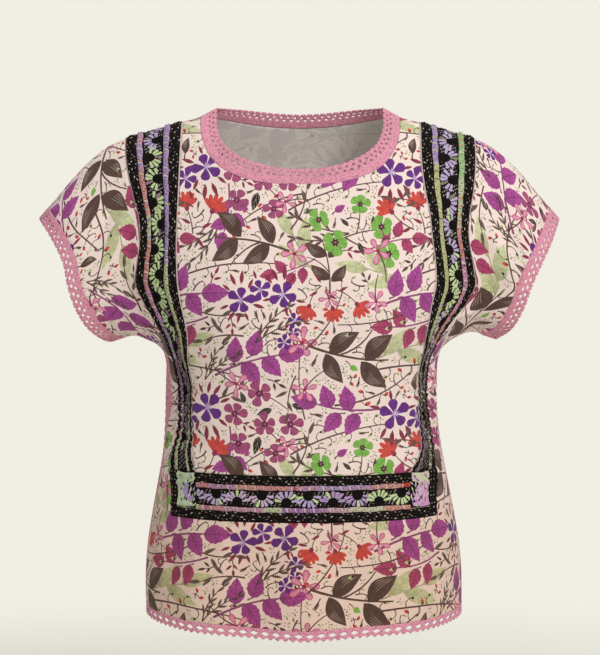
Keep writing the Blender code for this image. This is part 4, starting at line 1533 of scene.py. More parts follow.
def hook_branch():
    """A long thin branch with hooked stalks."""
    shapes = [stalk((0, 0), (118, 18), 0.12, 1.3, BARK, 9)]
    line = arc((0, 0), (118, 18), 0.12, 10)
    for k, turn in enumerate((75, -100, 60, -85, 78, -95, 70, -80, 85)):
        shapes += hook(line[k + 1], turn, 8.5 + k % 3)
    return shapes


def olive_leaves():
    broad = (((6, 2), 32, 44), ((22, 4), -28, 46), ((46, 6), 10, 40))
    blades = leaves(broad, 0.36, OLIVE, -0.22, 9.0, full=0.8, cells=7)
    return [stalk((0, 0), (60, 4), 0.1, 0.9, "8F9468", 5), *blades]


def twig():
    """A brown twig with slim leaves."""
    shapes = [stalk((0, 0), (46, 6), -0.16, 1.2, BARK)]
    for at, turn, length in (((12, -2), 40, 17), ((22, -3), -42, 18), ((34, 0), 46, 16), ((46, 6), 8, 17)):
        shapes.append(leaf(at, turn, length, 4.4, BROWN, 0.3, 2.0, cells=4))
    return shapes


def pink_sprig():
    return [stalk((0, 0), (34, -10), 0.14, 1.2, BARK), *flower("pink", 0, 0, 16, 30)]


def green_bud():
    """A green bud on its stalk."""
    green = leaf((-3, 0), 0, 10, 7.0, GREEN, -0.4, 3.0, 0.75, cells=5)
    return [stalk((-10, 2), (-2, 0), 0.2, 0.8, BARK, 3), green]


# The print's layout over one repeat: sprig, place across and up in mm, turn in degrees, size
REPEAT = (268.0, 272.0)
LAYOUT = (
    (olive_leaves, (128, 246, 8, 1.07), (262, 96, 112, 0.96), (78, 62, 160, 0.96)),
    (
        hook_branch, (138, 222, -12, 1.13), (40, 148, 8, 0.96), (196, 66, -4, 0.96), (96, 8, 184, 0.96),
        (266, 214, 82, 0.79),
    ),
    (fern_twigs, (12, 100, 150, 1.02), (150, 84, 196, 0.96), (244, 6, 12, 0.90)),
    (twig, (6, 132, 60, 1.02), (176, 8, -14, 1.02), (196, 196, 20, 1.02), (172, 262, 180, 1.02)),
    (berry_branch, (84, 206, 4, 0.96), (232, 122, 188, 0.85), (24, 12, 40, 0.79)),
    (
        leaf_branch, (220, 236, 14, 1.02), (36, 178, 170, 0.96), (132, 34, 8, 1.07), (186, 118, 260, 0.74),
    ),
    (crimson_branch, (120, 268, 186, 0.84), (112, 96, 8, 0.70), (254, 58, 196, 0.62)),
    (brown_branch, (42, 240, -8, 1.04), (222, 90, 172, 0.96), (30, 58, 100, 0.68)),
    (green_spray, (62, 108, -12, 0.96)),
    (fan_spray, (136, 116, 4, 0.96), (34, 30, 186, 0.79)),
    (mauve_group, (224, 164, -8, 1.02)),
    (purple_cluster, (132, 170, 4, 1.07), (224, 34, 184, 0.90), (256, 264, 60, 0.51)),
    (
        pink_sprig, (92, 74, 300, 1.02), (186, 208, 160, 0.96), (6, 208, 60, 0.90), (80, 34, 100, 0.85),
    ),
    (twig, (118, 142, 160, 0.90), (250, 190, 250, 0.90)),
    (fern_twigs, (176, 236, 24, 0.80)),
    (pink_sprig, (258, 140, 20, 0.80)),
)


def placed(shapes, x, y, turn, size):
    """A sprig's shapes turned, sized and put with their middle in place."""
    every = np.concatenate([shape.points for shape in shapes])
    middle = (every.min(0) + every.max(0)) / 2
    done = []
    for shape in shapes:
        ways = spin([shape.along, shape.across], turn) / size
        where = spin((np.vstack([shape.points, shape.origin]) - middle) * size, turn) + (x, y)
        done.append(shape._replace(points=where[:-1], origin=where[-1], along=ways[0], across=ways[1]))
    return done


# Small sprigs that fill the open ground between the others: kinds, clear radius in mm, size
FILLERS = (
    ((lone_leaf, small_leaf, lone_leaf), 12.5, 0.95),
    ((small_leaf, curl, berries, small_leaf, green_bud), 10.0, 1.0),
    ((curl, brown_slips, comb, berries, slips, green_bud), 8.2, 1.0),
    ((comb, slips, curl, berries, brown_slips), 6.8, 0.9),
    ((comb, curl, specks), 5.4, 0.8),
    ((specks,), 4.0, 0.8),
)


def filled(shapes, cell=2.0):
    """The layout with small sprigs added wherever a round of bare ground is left."""
    columns, rows = int(REPEAT[0] / cell), int(REPEAT[1] / cell)
    bare = np.ones((columns, rows), bool)

    def cover(made):
        for shape in made:
            low = np.floor(shape.points.min(0) / cell).astype(int)
            high = np.ceil(shape.points.max(0) / cell).astype(int)
            sides = [np.arange(a, b + 1) for a, b in zip(low, high)]
            spots = np.stack([way.ravel() for way in np.meshgrid(*sides, indexing="ij")], -1)
            found = spots[inside(spots * cell, shape.points)]
            found = np.vstack([found, np.round(shape.points / cell).astype(int)])
            bare[found[:, 0] % columns, found[:, 1] % rows] = False

    cover(shapes)
    added = []
    for n, (sprigs, radius, size) in enumerate(FILLERS):
        count = 0
        reach = int(radius / cell)
        steps = range(-reach, reach + 1)
        around = [(i, j) for i in steps for j in steps if i * i + j * j <= (radius / cell) ** 2]
        clear = np.ones_like(bare)
        for i, j in around:
            clear &= np.roll(bare, (i, j), (0, 1))
        for k in range(columns * rows):
            spot = (k * 7919 + 311 * n) % (columns * rows)
            i, j = spot // rows, spot % rows
            if clear[i, j] and all(bare[(i + a) % columns, (j + b) % rows] for a, b in around):
                turn = (137.5 * k + 40 * n) % 360
                made = placed(sprigs[count % len(sprigs)](), i * cell, j * cell, turn, size)
                count += 1
                cover(made)
                added += made
    return added + shapes


TILE = []


def prints(outline):
    """The printed shapes that fall on a flat piece, repeated over it."""
    if not TILE:
        large = [shape for sprig, *rows in LAYOUT for row in rows for shape in placed(sprig(), *row)]
        TILE.extend(filled(large))
    low, high = outline.min(0), outline.max(0)
    first = np.floor(low / REPEAT - 0.5).astype(int)
    last = np.ceil(high / REPEAT + 0.5).astype(int)
    shapes = []
    for i in range(first[0], last[0] + 1):
        for j in range(first[1], last[1] + 1):
            move = np.array([i, j]) * REPEAT
            for shape in TILE:
                points = shape.points + move
                if (points.max(0) < low).any() or (points.min(0) > high).any():
                    continue
                if inside(points, outline).any():
                    shapes.append(shape._replace(points=points, origin=shape.origin + move))
    return shapes


# Colours, sRGB
GROUND, WRONG_SIDE = "F9E3D8", "DCD8D0"
LACE_PINK, BRAID_BLACK = "F59FB5", "140D0B"
LAVENDER, LIME, SALMON, ROSE = "C4A6D4", "D0DDA9", "E8A396", "DFA3BE"
RAY_LIME, RAY_LAVENDER = "D2E4A8", "C9B5DA"
PALE_LIME, YELLOW_LIME, FRESH_GREEN, CREAM = "D6DCB0", "D6D89C", "B4D898", "EADFC4"
DUSTY_ROSE, DUSTY_LIME = "A28494", "8B8A6C"


class BlouseSettings(bpy.types.PropertyGroup):
    ground: FloatVectorProperty(
        name="Ground",
        description="Colour of the cloth between its printed flowers",
        subtype="COLOR",
        size=4,
        min=0.0,
        max=1.0,
        default=linear(GROUND),
    )
    edging: FloatVectorProperty(
        name="Edging",
        description="Colour of the crocheted edgings",
        subtype="COLOR",
        size=4,
        min=0.0,
        max=1.0,
        default=linear(LACE_PINK),
    )
    cell: FloatProperty(
        name="Mesh size",
        description="How finely plain cloth is divided, in millimetres",
        default=4.6,
        min=3.0,
        max=15.0,
    )
    floor: FloatProperty(
        name="Floor height",
        description="Height of the floor",
        default=-0.95,
        unit="LENGTH",
    )


# Painted shade: where the cloth goes over, by height, to a darker, warmer colour that stands for the shade
# below the band and in part for its denser print there, and what its colour is multiplied by there
PAINTED_SHADE_HEIGHTS, PAINTED_SHADE_COLOUR = (-0.40, -0.50), (0.88, 0.79, 0.72)
# Radians of the weave's wave for each millimetre
THREADS = 7.85


def printed_cloth(name, wrong_side=False):
    """Printed plain-weave viscose: soft matt cloth with a faint sheen.

    Thread spacing is about 0.35 mm, drawn as 0.8 mm so that it shows. The wrong side is the same
    print seen through the cloth: greyed and pale.
    """
    made, tree, shader = new_material(name)
    flat, ink, parts = printed_values(tree)
    across = figure(tree, "ABSOLUTE", parts["Y"])
    vein = figure(tree, "PINGPONG", figure(tree, "SUBTRACT", parts["X"], across), 0.5)
    lines = figure(tree, "MAXIMUM", *(ranged(tree, value, 0.03, 0.1, 1.0, 0.0) for value in (vein, across)))
    pale = figure(tree, "MULTIPLY", lines, parts["Z"], clamp=True)
    dark = figure(tree, "MULTIPLY", lines, figure(tree, "MULTIPLY", parts["Z"], -1.0), clamp=True)
    wash = noise(tree, flat, 0.16, 3.0, 0.6)
    outward = ranged(tree, parts["X"], 0.0, 6.0, 0.9, 1.25)
    stroke = figure(tree, "MULTIPLY", ranged(tree, wash, 0.32, 0.68, 0.76, 1.12), outward)
    inked = add(tree, "VectorMath", {0: ink, 1: linear(GROUND)[:3]}, operation="DISTANCE").outputs["Value"]
    printed = ranged(tree, inked, 0.1, 0.4)
    level = add(tree, "Mix", {0: printed, 2: 1.0, 3: stroke}, data_type="FLOAT").outputs[0]
    # painted shade: below the band every colour of the cloth is multiplied darker and warmer, by height
    height = add(tree, "SeparateXYZ", {"Vector": add(tree, "TexCoord").outputs["Object"]}).outputs["Z"]
    low = ranged(tree, height, *PAINTED_SHADE_HEIGHTS, eased_ends=True)
    painted_shade_tint = add(tree, "Mix", {0: low, 4: (1.0, 1.0, 1.0), 5: PAINTED_SHADE_COLOUR}, data_type="VECTOR").outputs[1]
    colour = times(tree, times(tree, ink, painted_shade_tint), level)
    colour = blend(tree, dark, colour, linear("3A2230"))
    colour = blend(tree, pale, colour, linear("E8D9C8"))
    if wrong_side:
        colour = blend(tree, 0.86, colour, linear(WRONG_SIDE))
    crossing = add(tree, "SeparateXYZ", {"Vector": times(tree, flat, (THREADS, THREADS, 0.0))}).outputs
    weave = figure(tree, "MULTIPLY", *(figure(tree, "SINE", crossing[way]) for way in "XY"))
    relief = figure(tree, "ADD", weave, noise(tree, flat, 0.6, 2.0))
    finished(tree, shader, colour, relief, 0.12, 0.0004, {
        "Roughness": 0.86,
        "Specular IOR Level": 0.3,
        "Sheen Weight": 0.12,
        "Sheen Roughness": 0.5,
    })
    return made


def crocheted_cotton(name, colour):
    """Crocheted mercerised cotton: rows of small knotted stitches about 2 mm apart."""
    made, tree, shader = new_material(name)
    flat = attribute(tree, "flat")
    stitches = add(tree, "TexVoronoi", {"Vector": flat, "Scale": 0.52, "Randomness": 0.55})
    deep = ranged(tree, stitches.outputs["Distance"], 0.35, 0.85, 1.0, 0.0)
    # painted shade between the stitches and painted light on them: the cotton's colour is halved where the
    # stitches' relief is low and raised where it is high
    dark, light = ([min(v * share, 1) for v in colour[:3]] + [1.0] for share in (0.5, 1.15))
    relief = figure(tree, "ADD", deep, noise(tree, flat, 2.2, 2.0))
    values = {"Roughness": 0.78, "Sheen Weight": 0.15}
    finished(tree, shader, blend(tree, deep, dark, light), relief, 0.7, 0.0007, values)
    return made


def braided_thread(name):
    """Drawn-thread band: wrapped cords, knotted hubs and flat braid, matt cotton thread."""
    made, tree, shader = new_material(name)
    flat, ink, parts = printed_values(tree)
    # painted shade in the grooves between a wrapped cord's turns: there the thread's colour drops to 0.3 of
    # itself; the same wave is the cord's relief
    wrap = figure(tree, "PINGPONG", parts["X"], 0.5)
    groove_shade = ranged(tree, wrap, 0.04, 0.24, 0.3, 1.08)
    wrap_relief_and_shade = add(tree, "Mix", {0: parts["Z"], 2: 1.0, 3: groove_shade}, data_type="FLOAT").outputs[0]
    fuzz = noise(tree, flat, 1.1, 3.0, 0.65)
    tone = figure(tree, "MULTIPLY", wrap_relief_and_shade, ranged(tree, fuzz, 0.3, 0.7, 0.62, 1.2))
    values = {"Roughness": 0.85, "Specular IOR Level": 0.15}
    finished(tree, shader, times(tree, ink, tone), figure(tree, "ADD", wrap_relief_and_shade, fuzz), 0.8, 0.0006, values)
    return made


def material(name, maker, *values):
    """A material by name, made when it is first asked for."""
    return bpy.data.materials.get(name) or maker(name, *values)


def wrong_side():
    return material("Printed viscose, wrong side", printed_cloth, True)


def cloth_piece(context, node, outline, place, weld=False):
    """Cuts a piece of printed cloth and hangs it in its place."""
    settings = context.scene.blouse
    finish = [material("Printed viscose", printed_cloth), wrong_side()]
    cut = cut_flat(outline, [], prints(outline), settings.cell)
    piece = make_sheet(node + "_cloth", cut, place, tuple(settings.ground), CLOTH_THICK, finish, weld)
    hang(piece, node)


def band_piece(node, outline, place, shapes, crests):
    """Cuts a band with its work and sews it into its place."""
    finish = [material("Braided cotton thread", braided_thread), wrong_side()]
    cut = cut_flat(outline, [], shapes, BAND_CELL, crests)
    piece = make_sheet(node + "_work", cut, place, linear(BRAID_BLACK), BAND_THICK, finish)
    hang(piece, node)


def crochet_piece(context, node, cut, place):
    """Hangs a cut piece of crochet in its place."""
    colour = tuple(context.scene.blouse.edging)
    finish = [material("Crocheted cotton", crocheted_cotton, colour)]
    piece = make_sheet(node + "_work", cut, place, colour, LACE_THICK, finish)
    hang(piece, node)


class BLOUSE_OT_front(bpy.types.Operator):
    """Makes the front panel and the cloth beside and below the bands."""

    bl_idname = "blouse.front"
    bl_label = "Front"

    def execute(self, context):
        cloth_piece(context, "front_centre", centre_outline(), front_place)
        cloth_piece(context, "front_outer", outer_outline(), round_place)
        return {"FINISHED"}


class BLOUSE_OT_back(bpy.types.Operator):
    """Makes the back panel."""

    bl_idname = "blouse.back"
    bl_label = "Back"

    def execute(self, context):
        cloth_piece(context, "back_panel", back_outline(), round_place)
        return {"FINISHED"}


SIDES = ((-1, "left"), (1, "right"))


class BLOUSE_OT_sleeves(bpy.types.Operator):
    """Makes the two cap sleeves."""

    bl_idname = "blouse.sleeves"
    bl_label = "Sleeves"

    def execute(self, context):
        for side, name in SIDES:
            cloth_piece(context, "sleeve_" + name, *sleeve_flat(side), weld=True)
        return {"FINISHED"}


def patch(points, ink):
    """A coloured patch of a band."""
    return Shape(np.asarray(points, float), linear(ink), np.zeros(2), np.array([0.0, 1.0]), np.zeros(2), 0.0)


def wrapped(points, ink):
    """A patch of a cord, wrapped on the slant in turns about 2 mm apart."""
    # a tone of 0.8 sets how fully the painted shade falls in the grooves between the turns
    return patch(points, ink)._replace(along=np.array([0.3, 0.5]), tone=0.8)


def lens(x, y, long, wide, degrees, ink):
    """One short stitch."""
    ring = [[-long / 2, 0], [0, -wide / 2], [long / 2, 0], [0, wide / 2]]
    return patch(spin(ring, degrees) + (x, y), ink)


# Across a band, in its own 56 mm: the cloth's folded edges, braids, cords and the openwork between them
FOLDED_EDGES = ((0.0, 1.2), (54.8, 56.0))
BRAIDS = ((1.4, 11.8), (44.2, 54.6))
CORDS = ((11.8, 18.0), (38.0, 44.2))
OPENWORK = (18.4, 37.6)
HUB_LEFT, HUB_RIGHT, HUB_SIZE = 24.0, 32.0, 5.6
# How far the work stands up in metres, in turn: a cord's turns, a braid's plaits; a ray, a hub and its knots
CORD_RISES, PLAIT_RISES = (0.0008, 0.0013), (-0.0001, 0.0006)
RAY_RISE, HUB_RISE, KNOT_RISE = 0.0008, 0.0013, 0.0011
# Rays of one hub, in degrees from straight across, how far they reach, and the stitches of the net
RAY_TURNS, RAY_REACH, NET_STEP = (-78, -50, -24, 2, 28, 54, 80), 14.2, 0.6
NET_INKS = ("C9B3CF", "E3D6C6", "8C7B70", "B79CA8", "D9CDB4")
THREAD_INKS = ("C4B8A8", "84776C", "DCD0BF", "5F554E")
FOLD_INK, CORD_TURN_INK = "DCC6C2", "F0E4D2"


def cord_work(low, high, inks, length, mixed):
    """A wrapped cord in lengths of several colours, some turns of it in others, and its crests."""
    shapes, crests = [], []
    ends = np.linspace(0, length, len(inks) + 1)
    ends[1:-1] += 7 * np.sin(np.arange(1, len(inks)) * 2.7)
    for n, (start, end, ink) in enumerate(zip(ends[:-1], ends[1:], inks)):
        t = np.linspace(start, end, int((end - start) / 3.2) + 2)
        left, right = low + 0.35 + 0.4 * np.sin(1.9 * t), high - 0.35 + 0.4 * np.sin(2.3 * t + 1)
        ring = np.concatenate([np.stack([left, t], -1), np.stack([right, t], -1)[::-1]])
        shapes.append(wrapped(ring, ink))
        for k, t in enumerate(np.arange(start + 0.8, end - 3.0, 3.3)):
            other = (CORD_TURN_INK, inks[(n + 1) % len(inks)], inks[(n + 3) % len(inks)])[(k * 2 + n) % 3]
            if 0.5 + 0.5 * math.sin(2.3 * k + 1.7 * start) < mixed:
                broad = 1.7 + 0.5 * math.sin(1.3 * k)
                upper = [[high - 0.6, t + 1.1 + broad], [low + 0.6, t + broad]]
                ring = [[low + 0.5, t], [high - 0.5, t + 1.1], *upper]
                shapes.append(wrapped(ring, other))
            x = (low + 1.1, high - 1.1, (low + high) / 2)[k % 3]
            shapes.append(lens(x, t + 0.4, 2.6, 1.0, 24 + 8 * math.sin(k), BRAID_BLACK))
    middle = (low + high) / 2
    for k, t in enumerate(np.arange(0.8, length - 0.8, 1.2)):
        rise = CORD_RISES[k % 2]
        crests += [(middle - 1.2, t, rise), (middle + 1.2, t + 0.5, rise)]
    return shapes, crests


def braid_work(low, high, length):
    """A flat black braid: its plaits' crests, and the pale thread that shows through it."""
    shapes, crests = [], []
    width = high - low
    for column, share in enumerate((0.16, 0.5, 0.84)):
        for k, t in enumerate(np.arange(2.2 + 2.1 * (column % 2), length - 1.5, 5.0)):
            wave = 0.8 * math.sin(2.3 * k + column)
            slant = (66, 112, 78)[column] + 22 * math.sin(1.7 * k)
            long = 3.1 + 1.3 * math.sin(3.7 * k + 2 * column)
            if math.sin(5.1 * k + 2.4 * column) > -0.6:
                ink = THREAD_INKS[(k * 5 + column) % 4]
                shapes.append(lens(low + share * width + wave, t, long, 1.2, slant, ink))
    for column, share in enumerate((0.34, 0.66)):
        for k, t in enumerate(np.arange(1.2 + column * 1.1, length - 1.0, 2.2)):
            crests.append((low + share * width, t, PLAIT_RISES[k % 2]))
    return shapes, crests


def ray(hub, degrees, reach, ink):
    """A straight ray of coloured thread from a hub, kept inside the openwork."""
    way = spin([1.0, 0.0], degrees)
    if abs(way[0]) > 1e-3:
        wall = OPENWORK[1] if way[0] > 0 else OPENWORK[0]
        reach = min(reach, (wall - hub[0]) / way[0])
    start = HUB_SIZE + 0.3
    if reach < start + 2.5:
        return [], []
    half = [[start, -1.0], [reach - 1.0, -1.8], [reach, -1.1]]
    ring = half + [[x, -y] for x, y in reversed(half)]
    shape = patch(spin(ring, degrees) + hub, ink)
    crests = []
    for share in (0.3, 0.6, 0.85):
        place = np.asarray(hub) + way * (start + (reach - start) * share)
        crests.append((*place, RAY_RISE))
    return [shape], crests


def openwork(length, inks, step=27.0, start=11.0, first=0):
    """Black hubs on alternate sides, with coloured rays fanning from each towards the other side."""
    shapes, crests = [], []
    count = int((length - start * 0.6) / step)
    for k, t in enumerate(np.arange(2.0, length - 2.0, NET_STEP)):
        x = OPENWORK[0] + 1.2 + (7.3 * k) % (OPENWORK[1] - OPENWORK[0] - 2.4)
        shapes.append(lens(x, t, 2.6 + 0.9 * math.sin(k), 1.1, (37 * k) % 180, NET_INKS[(3 * k) % 5]))
    for k in range(count):
        left = (k + first) % 2 == 0
        hub = np.array([HUB_LEFT if left else HUB_RIGHT, start + k * step + 1.2 * math.sin(2.1 * k)])
        ink = inks[min(k * len(inks) // count, len(inks) - 1)]
        shapes.append(star(hub, HUB_SIZE + 1.8, 8, 0.8, BRAID_BLACK, 9.0 * k))
        for n, turn in enumerate(RAY_TURNS):
            a = turn + 3 * math.sin(3.1 * k + 1.9 * n) + (0 if left else 180)
            other = inks[(k + n) % len(inks)] if (n + k) % 5 == 0 else ink
            made = ray(hub, a, RAY_REACH + math.sin(2.3 * n + k), other)
            shapes += made[0]
            crests += made[1]
        shapes.append(star(hub, HUB_SIZE, 9, 0.86, BRAID_BLACK, 7.0 * k))
        crests.append((*hub, HUB_RISE))
        for a in range(0, 360, 60):
            crests.append((*(hub + spin([HUB_SIZE * 0.5, 0], a + 9 * k)), KNOT_RISE))
    return shapes, crests


def band_work(length, cord_inks, ray_inks, mixed, **spacing):
    """Everything sewn along a band of this length, in its own places: across, and along."""
    shapes, crests = [], []
    for made in (
        openwork(length, ray_inks, **spacing),
        *(cord_work(*sides, inks, length, share) for sides, inks, share in zip(CORDS, cord_inks, mixed)),
        *(braid_work(*sides, length) for sides in BRAIDS),
    ):
        shapes += made[0]
        crests += made[1]
    for low, high in FOLDED_EDGES:
        shapes.append(patch([[low, 0], [high, 0], [high, length], [low, length]], FOLD_INK))
    return shapes, crests


def moved(work, matrix, shift):
    """Band work carried into a piece's flat places."""
    matrix, shift = np.array(matrix, float), np.array(shift, float)
    back = np.linalg.inv(matrix)
    shapes = [
        shape._replace(
            points=shape.points @ matrix.T + shift,
            origin=matrix @ shape.origin + shift,
            along=shape.along @ back,
            across=shape.across @ back,
        )
        for shape in work[0]
    ]
    crests = [(*(matrix @ np.array(row[:2]) + shift), row[2]) for row in work[1]]
    return shapes, crests


def kept(work, outline):
    """The band work that lies on a flat piece."""
    shapes = [shape for shape in work[0] if inside(shape.points, outline).any()]
    places = np.array([row[:2] for row in work[1]])
    return shapes, [row for row, keep in zip(work[1], inside(places, outline)) if keep]


# Colours down each upright band, then across: two cords, rays, and how much each cord is mixed
BAND_COLOURS = {
    -1: (
        (
            (ROSE, LAVENDER, SALMON, PALE_LIME, SALMON, ROSE, LAVENDER, DUSTY_ROSE, DUSTY_ROSE, LIME),
            (LAVENDER, LAVENDER, LAVENDER, PALE_LIME, YELLOW_LIME, DUSTY_LIME, PALE_LIME),
        ),
        (RAY_LAVENDER, RAY_LIME, RAY_LIME, RAY_LIME, RAY_LIME, DUSTY_ROSE, DUSTY_ROSE, DUSTY_ROSE),
        (0.5, 0.12),
    ),
    1: (
        (
            (LAVENDER, YELLOW_LIME, YELLOW_LIME, YELLOW_LIME, DUSTY_LIME, DUSTY_ROSE),
            (FRESH_GREEN, FRESH_GREEN, PALE_LIME, SALMON, ROSE, SALMON, DUSTY_ROSE, "6E5A55", DUSTY_LIME),
        ),
        (RAY_LAVENDER, RAY_LAVENDER, RAY_LAVENDER, RAY_LIME, "D9BCD6", DUSTY_LIME, DUSTY_ROSE),
        (0.12, 0.35),
    ),
}
COLOURS_ACROSS = (
    (
        (SALMON, ROSE, SALMON, ROSE, LAVENDER, SALMON, "E0503F"),
        (PALE_LIME, SALMON, ROSE, PALE_LIME, "B984C4", ROSE, CREAM, SALMON, LIME),
    ),
    (RAY_LAVENDER, "D9BCD6", RAY_LAVENDER, "C3A0CF", RAY_LIME, RAY_LIME),
    (0.6, 0.8),
)
# Ring beads: place in the band, size and colour
BEADS = {
    -1: (((24.0, -262.0), 3.4, LIME), ((24.0, -262.0), 1.5, BRAID_BLACK)),
    1: (((30.0, -260.0), 3.4, LIME), ((30.0, -260.0), 1.5, BRAID_BLACK)),
}

# The right corner's patches from the bottom up, in mm, and the colours of each corner's patches and stitches
CORNER = (
    ((123, -417), (149, -417), (149, -457), (123, -457)),
    (
        (147.5, -417.5), (148.5, -430), (147, -442), (148.5, -455.5), (138, -456.5), (126, -454.5),
        (129, -450.5), (137, -449.5), (140.5, -441), (139, -433), (131, -427.5), (124.5, -424),
        (125.5, -417.2), (138, -418.8),
    ),
    (
        (125.5, -417.3), (138, -418.5), (147.5, -417.7), (148.3, -429), (143, -432), (136, -430),
        (126, -426.5),
    ),
    (
        (138.5, -428.5), (142.5, -436), (139.5, -443), (133, -450), (127, -448.5), (130.5, -442),
        (134, -436), (133, -430),
    ),
)
CORNER_INKS = {
    -1: (BRAID_BLACK, "CFDDB2", "CFDDB2", "BC9AD4"),
    1: (BRAID_BLACK, "DDA6CC", "DBDDB8", "E3B9D4"),
}
STITCH_INKS = {-1: ("E2E8C8", "BFD295", "DCE6BE", "C7B4DA"), 1: ("E9BFDB", "D08CBB", "E0B4D6", "D6E2B4")}
# The outer braid beside a corner
CORNER_BRAID = ((149, -417), (160, -417), (160, -458), (149, -458))


def corner_work():
    """Where the bands meet: the outer braids run down, and loose coloured stitches fill the corners."""
    shapes = []
    for side in (-1, 1):
        for points, ink in zip(CORNER, CORNER_INKS[side]):
            shapes.append(patch(np.array(points) * (side, 1), ink))
        for row in range(8):
            for column in range(5):
                x = side * (126.5 + 4.8 * column) + 1.6 * math.sin(2.1 * row + column)
                y = -420.5 - 4.7 * row + 1.4 * math.sin(1.3 * row + 2 * column)
                slant = 90 + side * (20 + 24 * math.sin(row + 1.7 * column))
                ink = STITCH_INKS[side][(row * 2 + column * 3 + row // 3) % 4]
                shapes.append(lens(x, y, 6.6, 1.9, slant, ink))
                if (row + 2 * column) % 3 == 0:
                    shapes.append(lens(x + 2.2 * side, y - 1.5, 5.4, 1.7, slant + 8, BRAID_BLACK))
        shapes.append(patch(np.array(CORNER_BRAID) * (side, 1), BRAID_BLACK))
        for k in range(9):
            for x in (151, 155):
                slant = 60 + 60 * (k % 2)
                shapes.append(lens(side * x, -419 - 4.4 * k, 2.4, 0.85, slant, THREAD_INKS[k % 4]))
    return shapes


class BLOUSE_OT_bands(bpy.types.Operator):
    """Makes the drawn-thread bands down and across the front."""

    bl_idname = "blouse.bands"
    bl_label = "Bands"

    def execute(self, context):
        for side, name in SIDES:
            outline = band_outline(side)
            low, high = outline[:, 1].min(), outline[:, 1].max()
            work = band_work(high - low, *BAND_COLOURS[side])
            shapes, crests = kept(moved(work, [[1, 0], [0, -1]], (0, high)), outline)
            shapes += [star(bead, size, 6, 1.0, ink) for bead, size, ink in BEADS[side]]
            band_piece("band_" + name, outline, band_place(side), shapes, crests)
        outline = across_outline()
        left, right = outline[:, 0].min(), outline[:, 0].max()
        work = band_work(right - left, *COLOURS_ACROSS, step=26.5, start=32.0, first=1)
        squeeze = (BAND_TOP - BAND_BOTTOM) / MM / BAND_FLAT
        shapes, crests = kept(moved(work, [[0, 1], [-squeeze, 0]], (left, BAND_TOP / MM)), outline)
        band_piece("band_front", outline, across_place, shapes + corner_work(), crests)
        return {"FINISHED"}


# Edgings: width and length of one repeat in mm, rows of holes by share of the width, length, height, shift
# along and fullness of corners, and one repeat of the free edge by share of its length and of the width
# taken off
Edging = namedtuple("Edging", "width repeat holes free_edge")
SCALLOPS = ((0.0, 0.14), (0.14, 0.03), (0.32, 0.0), (0.5, 0.04), (0.68, 0.0), (0.86, 0.03))
POINTS = ((0.0, 0.25), (0.167, 0.0), (0.333, 0.25), (0.5, 0.0), (0.667, 0.25), (0.833, 0.0))
NECK_HOLES = ((0.53, 4.2, 2.3, 0.25, 1.0), (0.74, 4.0, 2.5, 0.75, 0.9))
CUFF_HOLES = ((0.45, 5.0, 2.6, 0.25, 0.84), (0.70, 5.0, 3.0, 0.75, 0.84))
HEM_HOLES = ((0.46, 9.4, 4.8, 0.25, 0.78), (0.46, 9.4, 4.8, 0.75, 0.78))
NECK_LACE = Edging(18.0, 9.4, NECK_HOLES, SCALLOPS)
CUFF_LACE = Edging(CUFF_LACE_WIDTH / MM, 9.4, CUFF_HOLES, SCALLOPS)
HEM_LACE = Edging(HEM_LACE_WIDTH / MM, 25.6, HEM_HOLES, POINTS)
# Which way each edging's right side faces: how its middle line is scaled and shifted to point there
NECK_FACES = (1, 1, 0), (0, 0, 0.05)
HEM_FACES = (1, 1, 0), (0, 0, 0)
# How far from a neck point the two edgings of the neck are drawn together
MEETING_REACH = 0.03


def lace_piece(context, node, seam, edge, faces, kind):
    """Makes an edging of one kind between its seam and its free edge."""
    place, length = lace_place(seam, edge, faces, kind.width)
    outline, gaps = lace_flat(length, *kind)
    crochet_piece(context, node, cut_flat(outline, gaps, [], LACE_CELL), place)


def neck_lines(tables, back):
    """The seam and the free edge of one neck edging in space."""
    seam, edge = (
        torso(math.pi - angle_at(*line.T) if back else angle_at(*line.T), line[:, 1])[0]
        for line in map(neck_line, tables)
    )
    if not back:
        edge[:, 1] *= mix(NECK_LEAN, 1, eased(np.clip(-edge[:, 2] / NECK_LEAN_DROP, 0, 1)))
    return seam, edge


def meeting(line, other):
    """A line drawn over to another at both its ends, so that the two meet there."""
    run = length_along(line)
    moved = np.array(line)
    for end, away in ((0, run), (-1, run[-1] - run)):
        near = 1 - eased(np.clip(away / MEETING_REACH, 0, 1))
        moved += near[:, None] * (other[end] - line[end]) / 2
    return moved


def insertion_holes(outline):
    """Two rows of small holes down a side insertion."""
    low, high = outline[:, 1].min(), outline[:, 1].max()
    ring = np.stack([np.cos(EIGHT_WAYS) * 1.3, np.sin(EIGHT_WAYS) * 2.2], -1)
    holes = []
    for x, shift in ((5.0, 5.0), (11.0, 9.6)):
        for y in np.arange(low + shift, high - 4, 9.3):
            holes.append(ring + (x, y))
    return holes


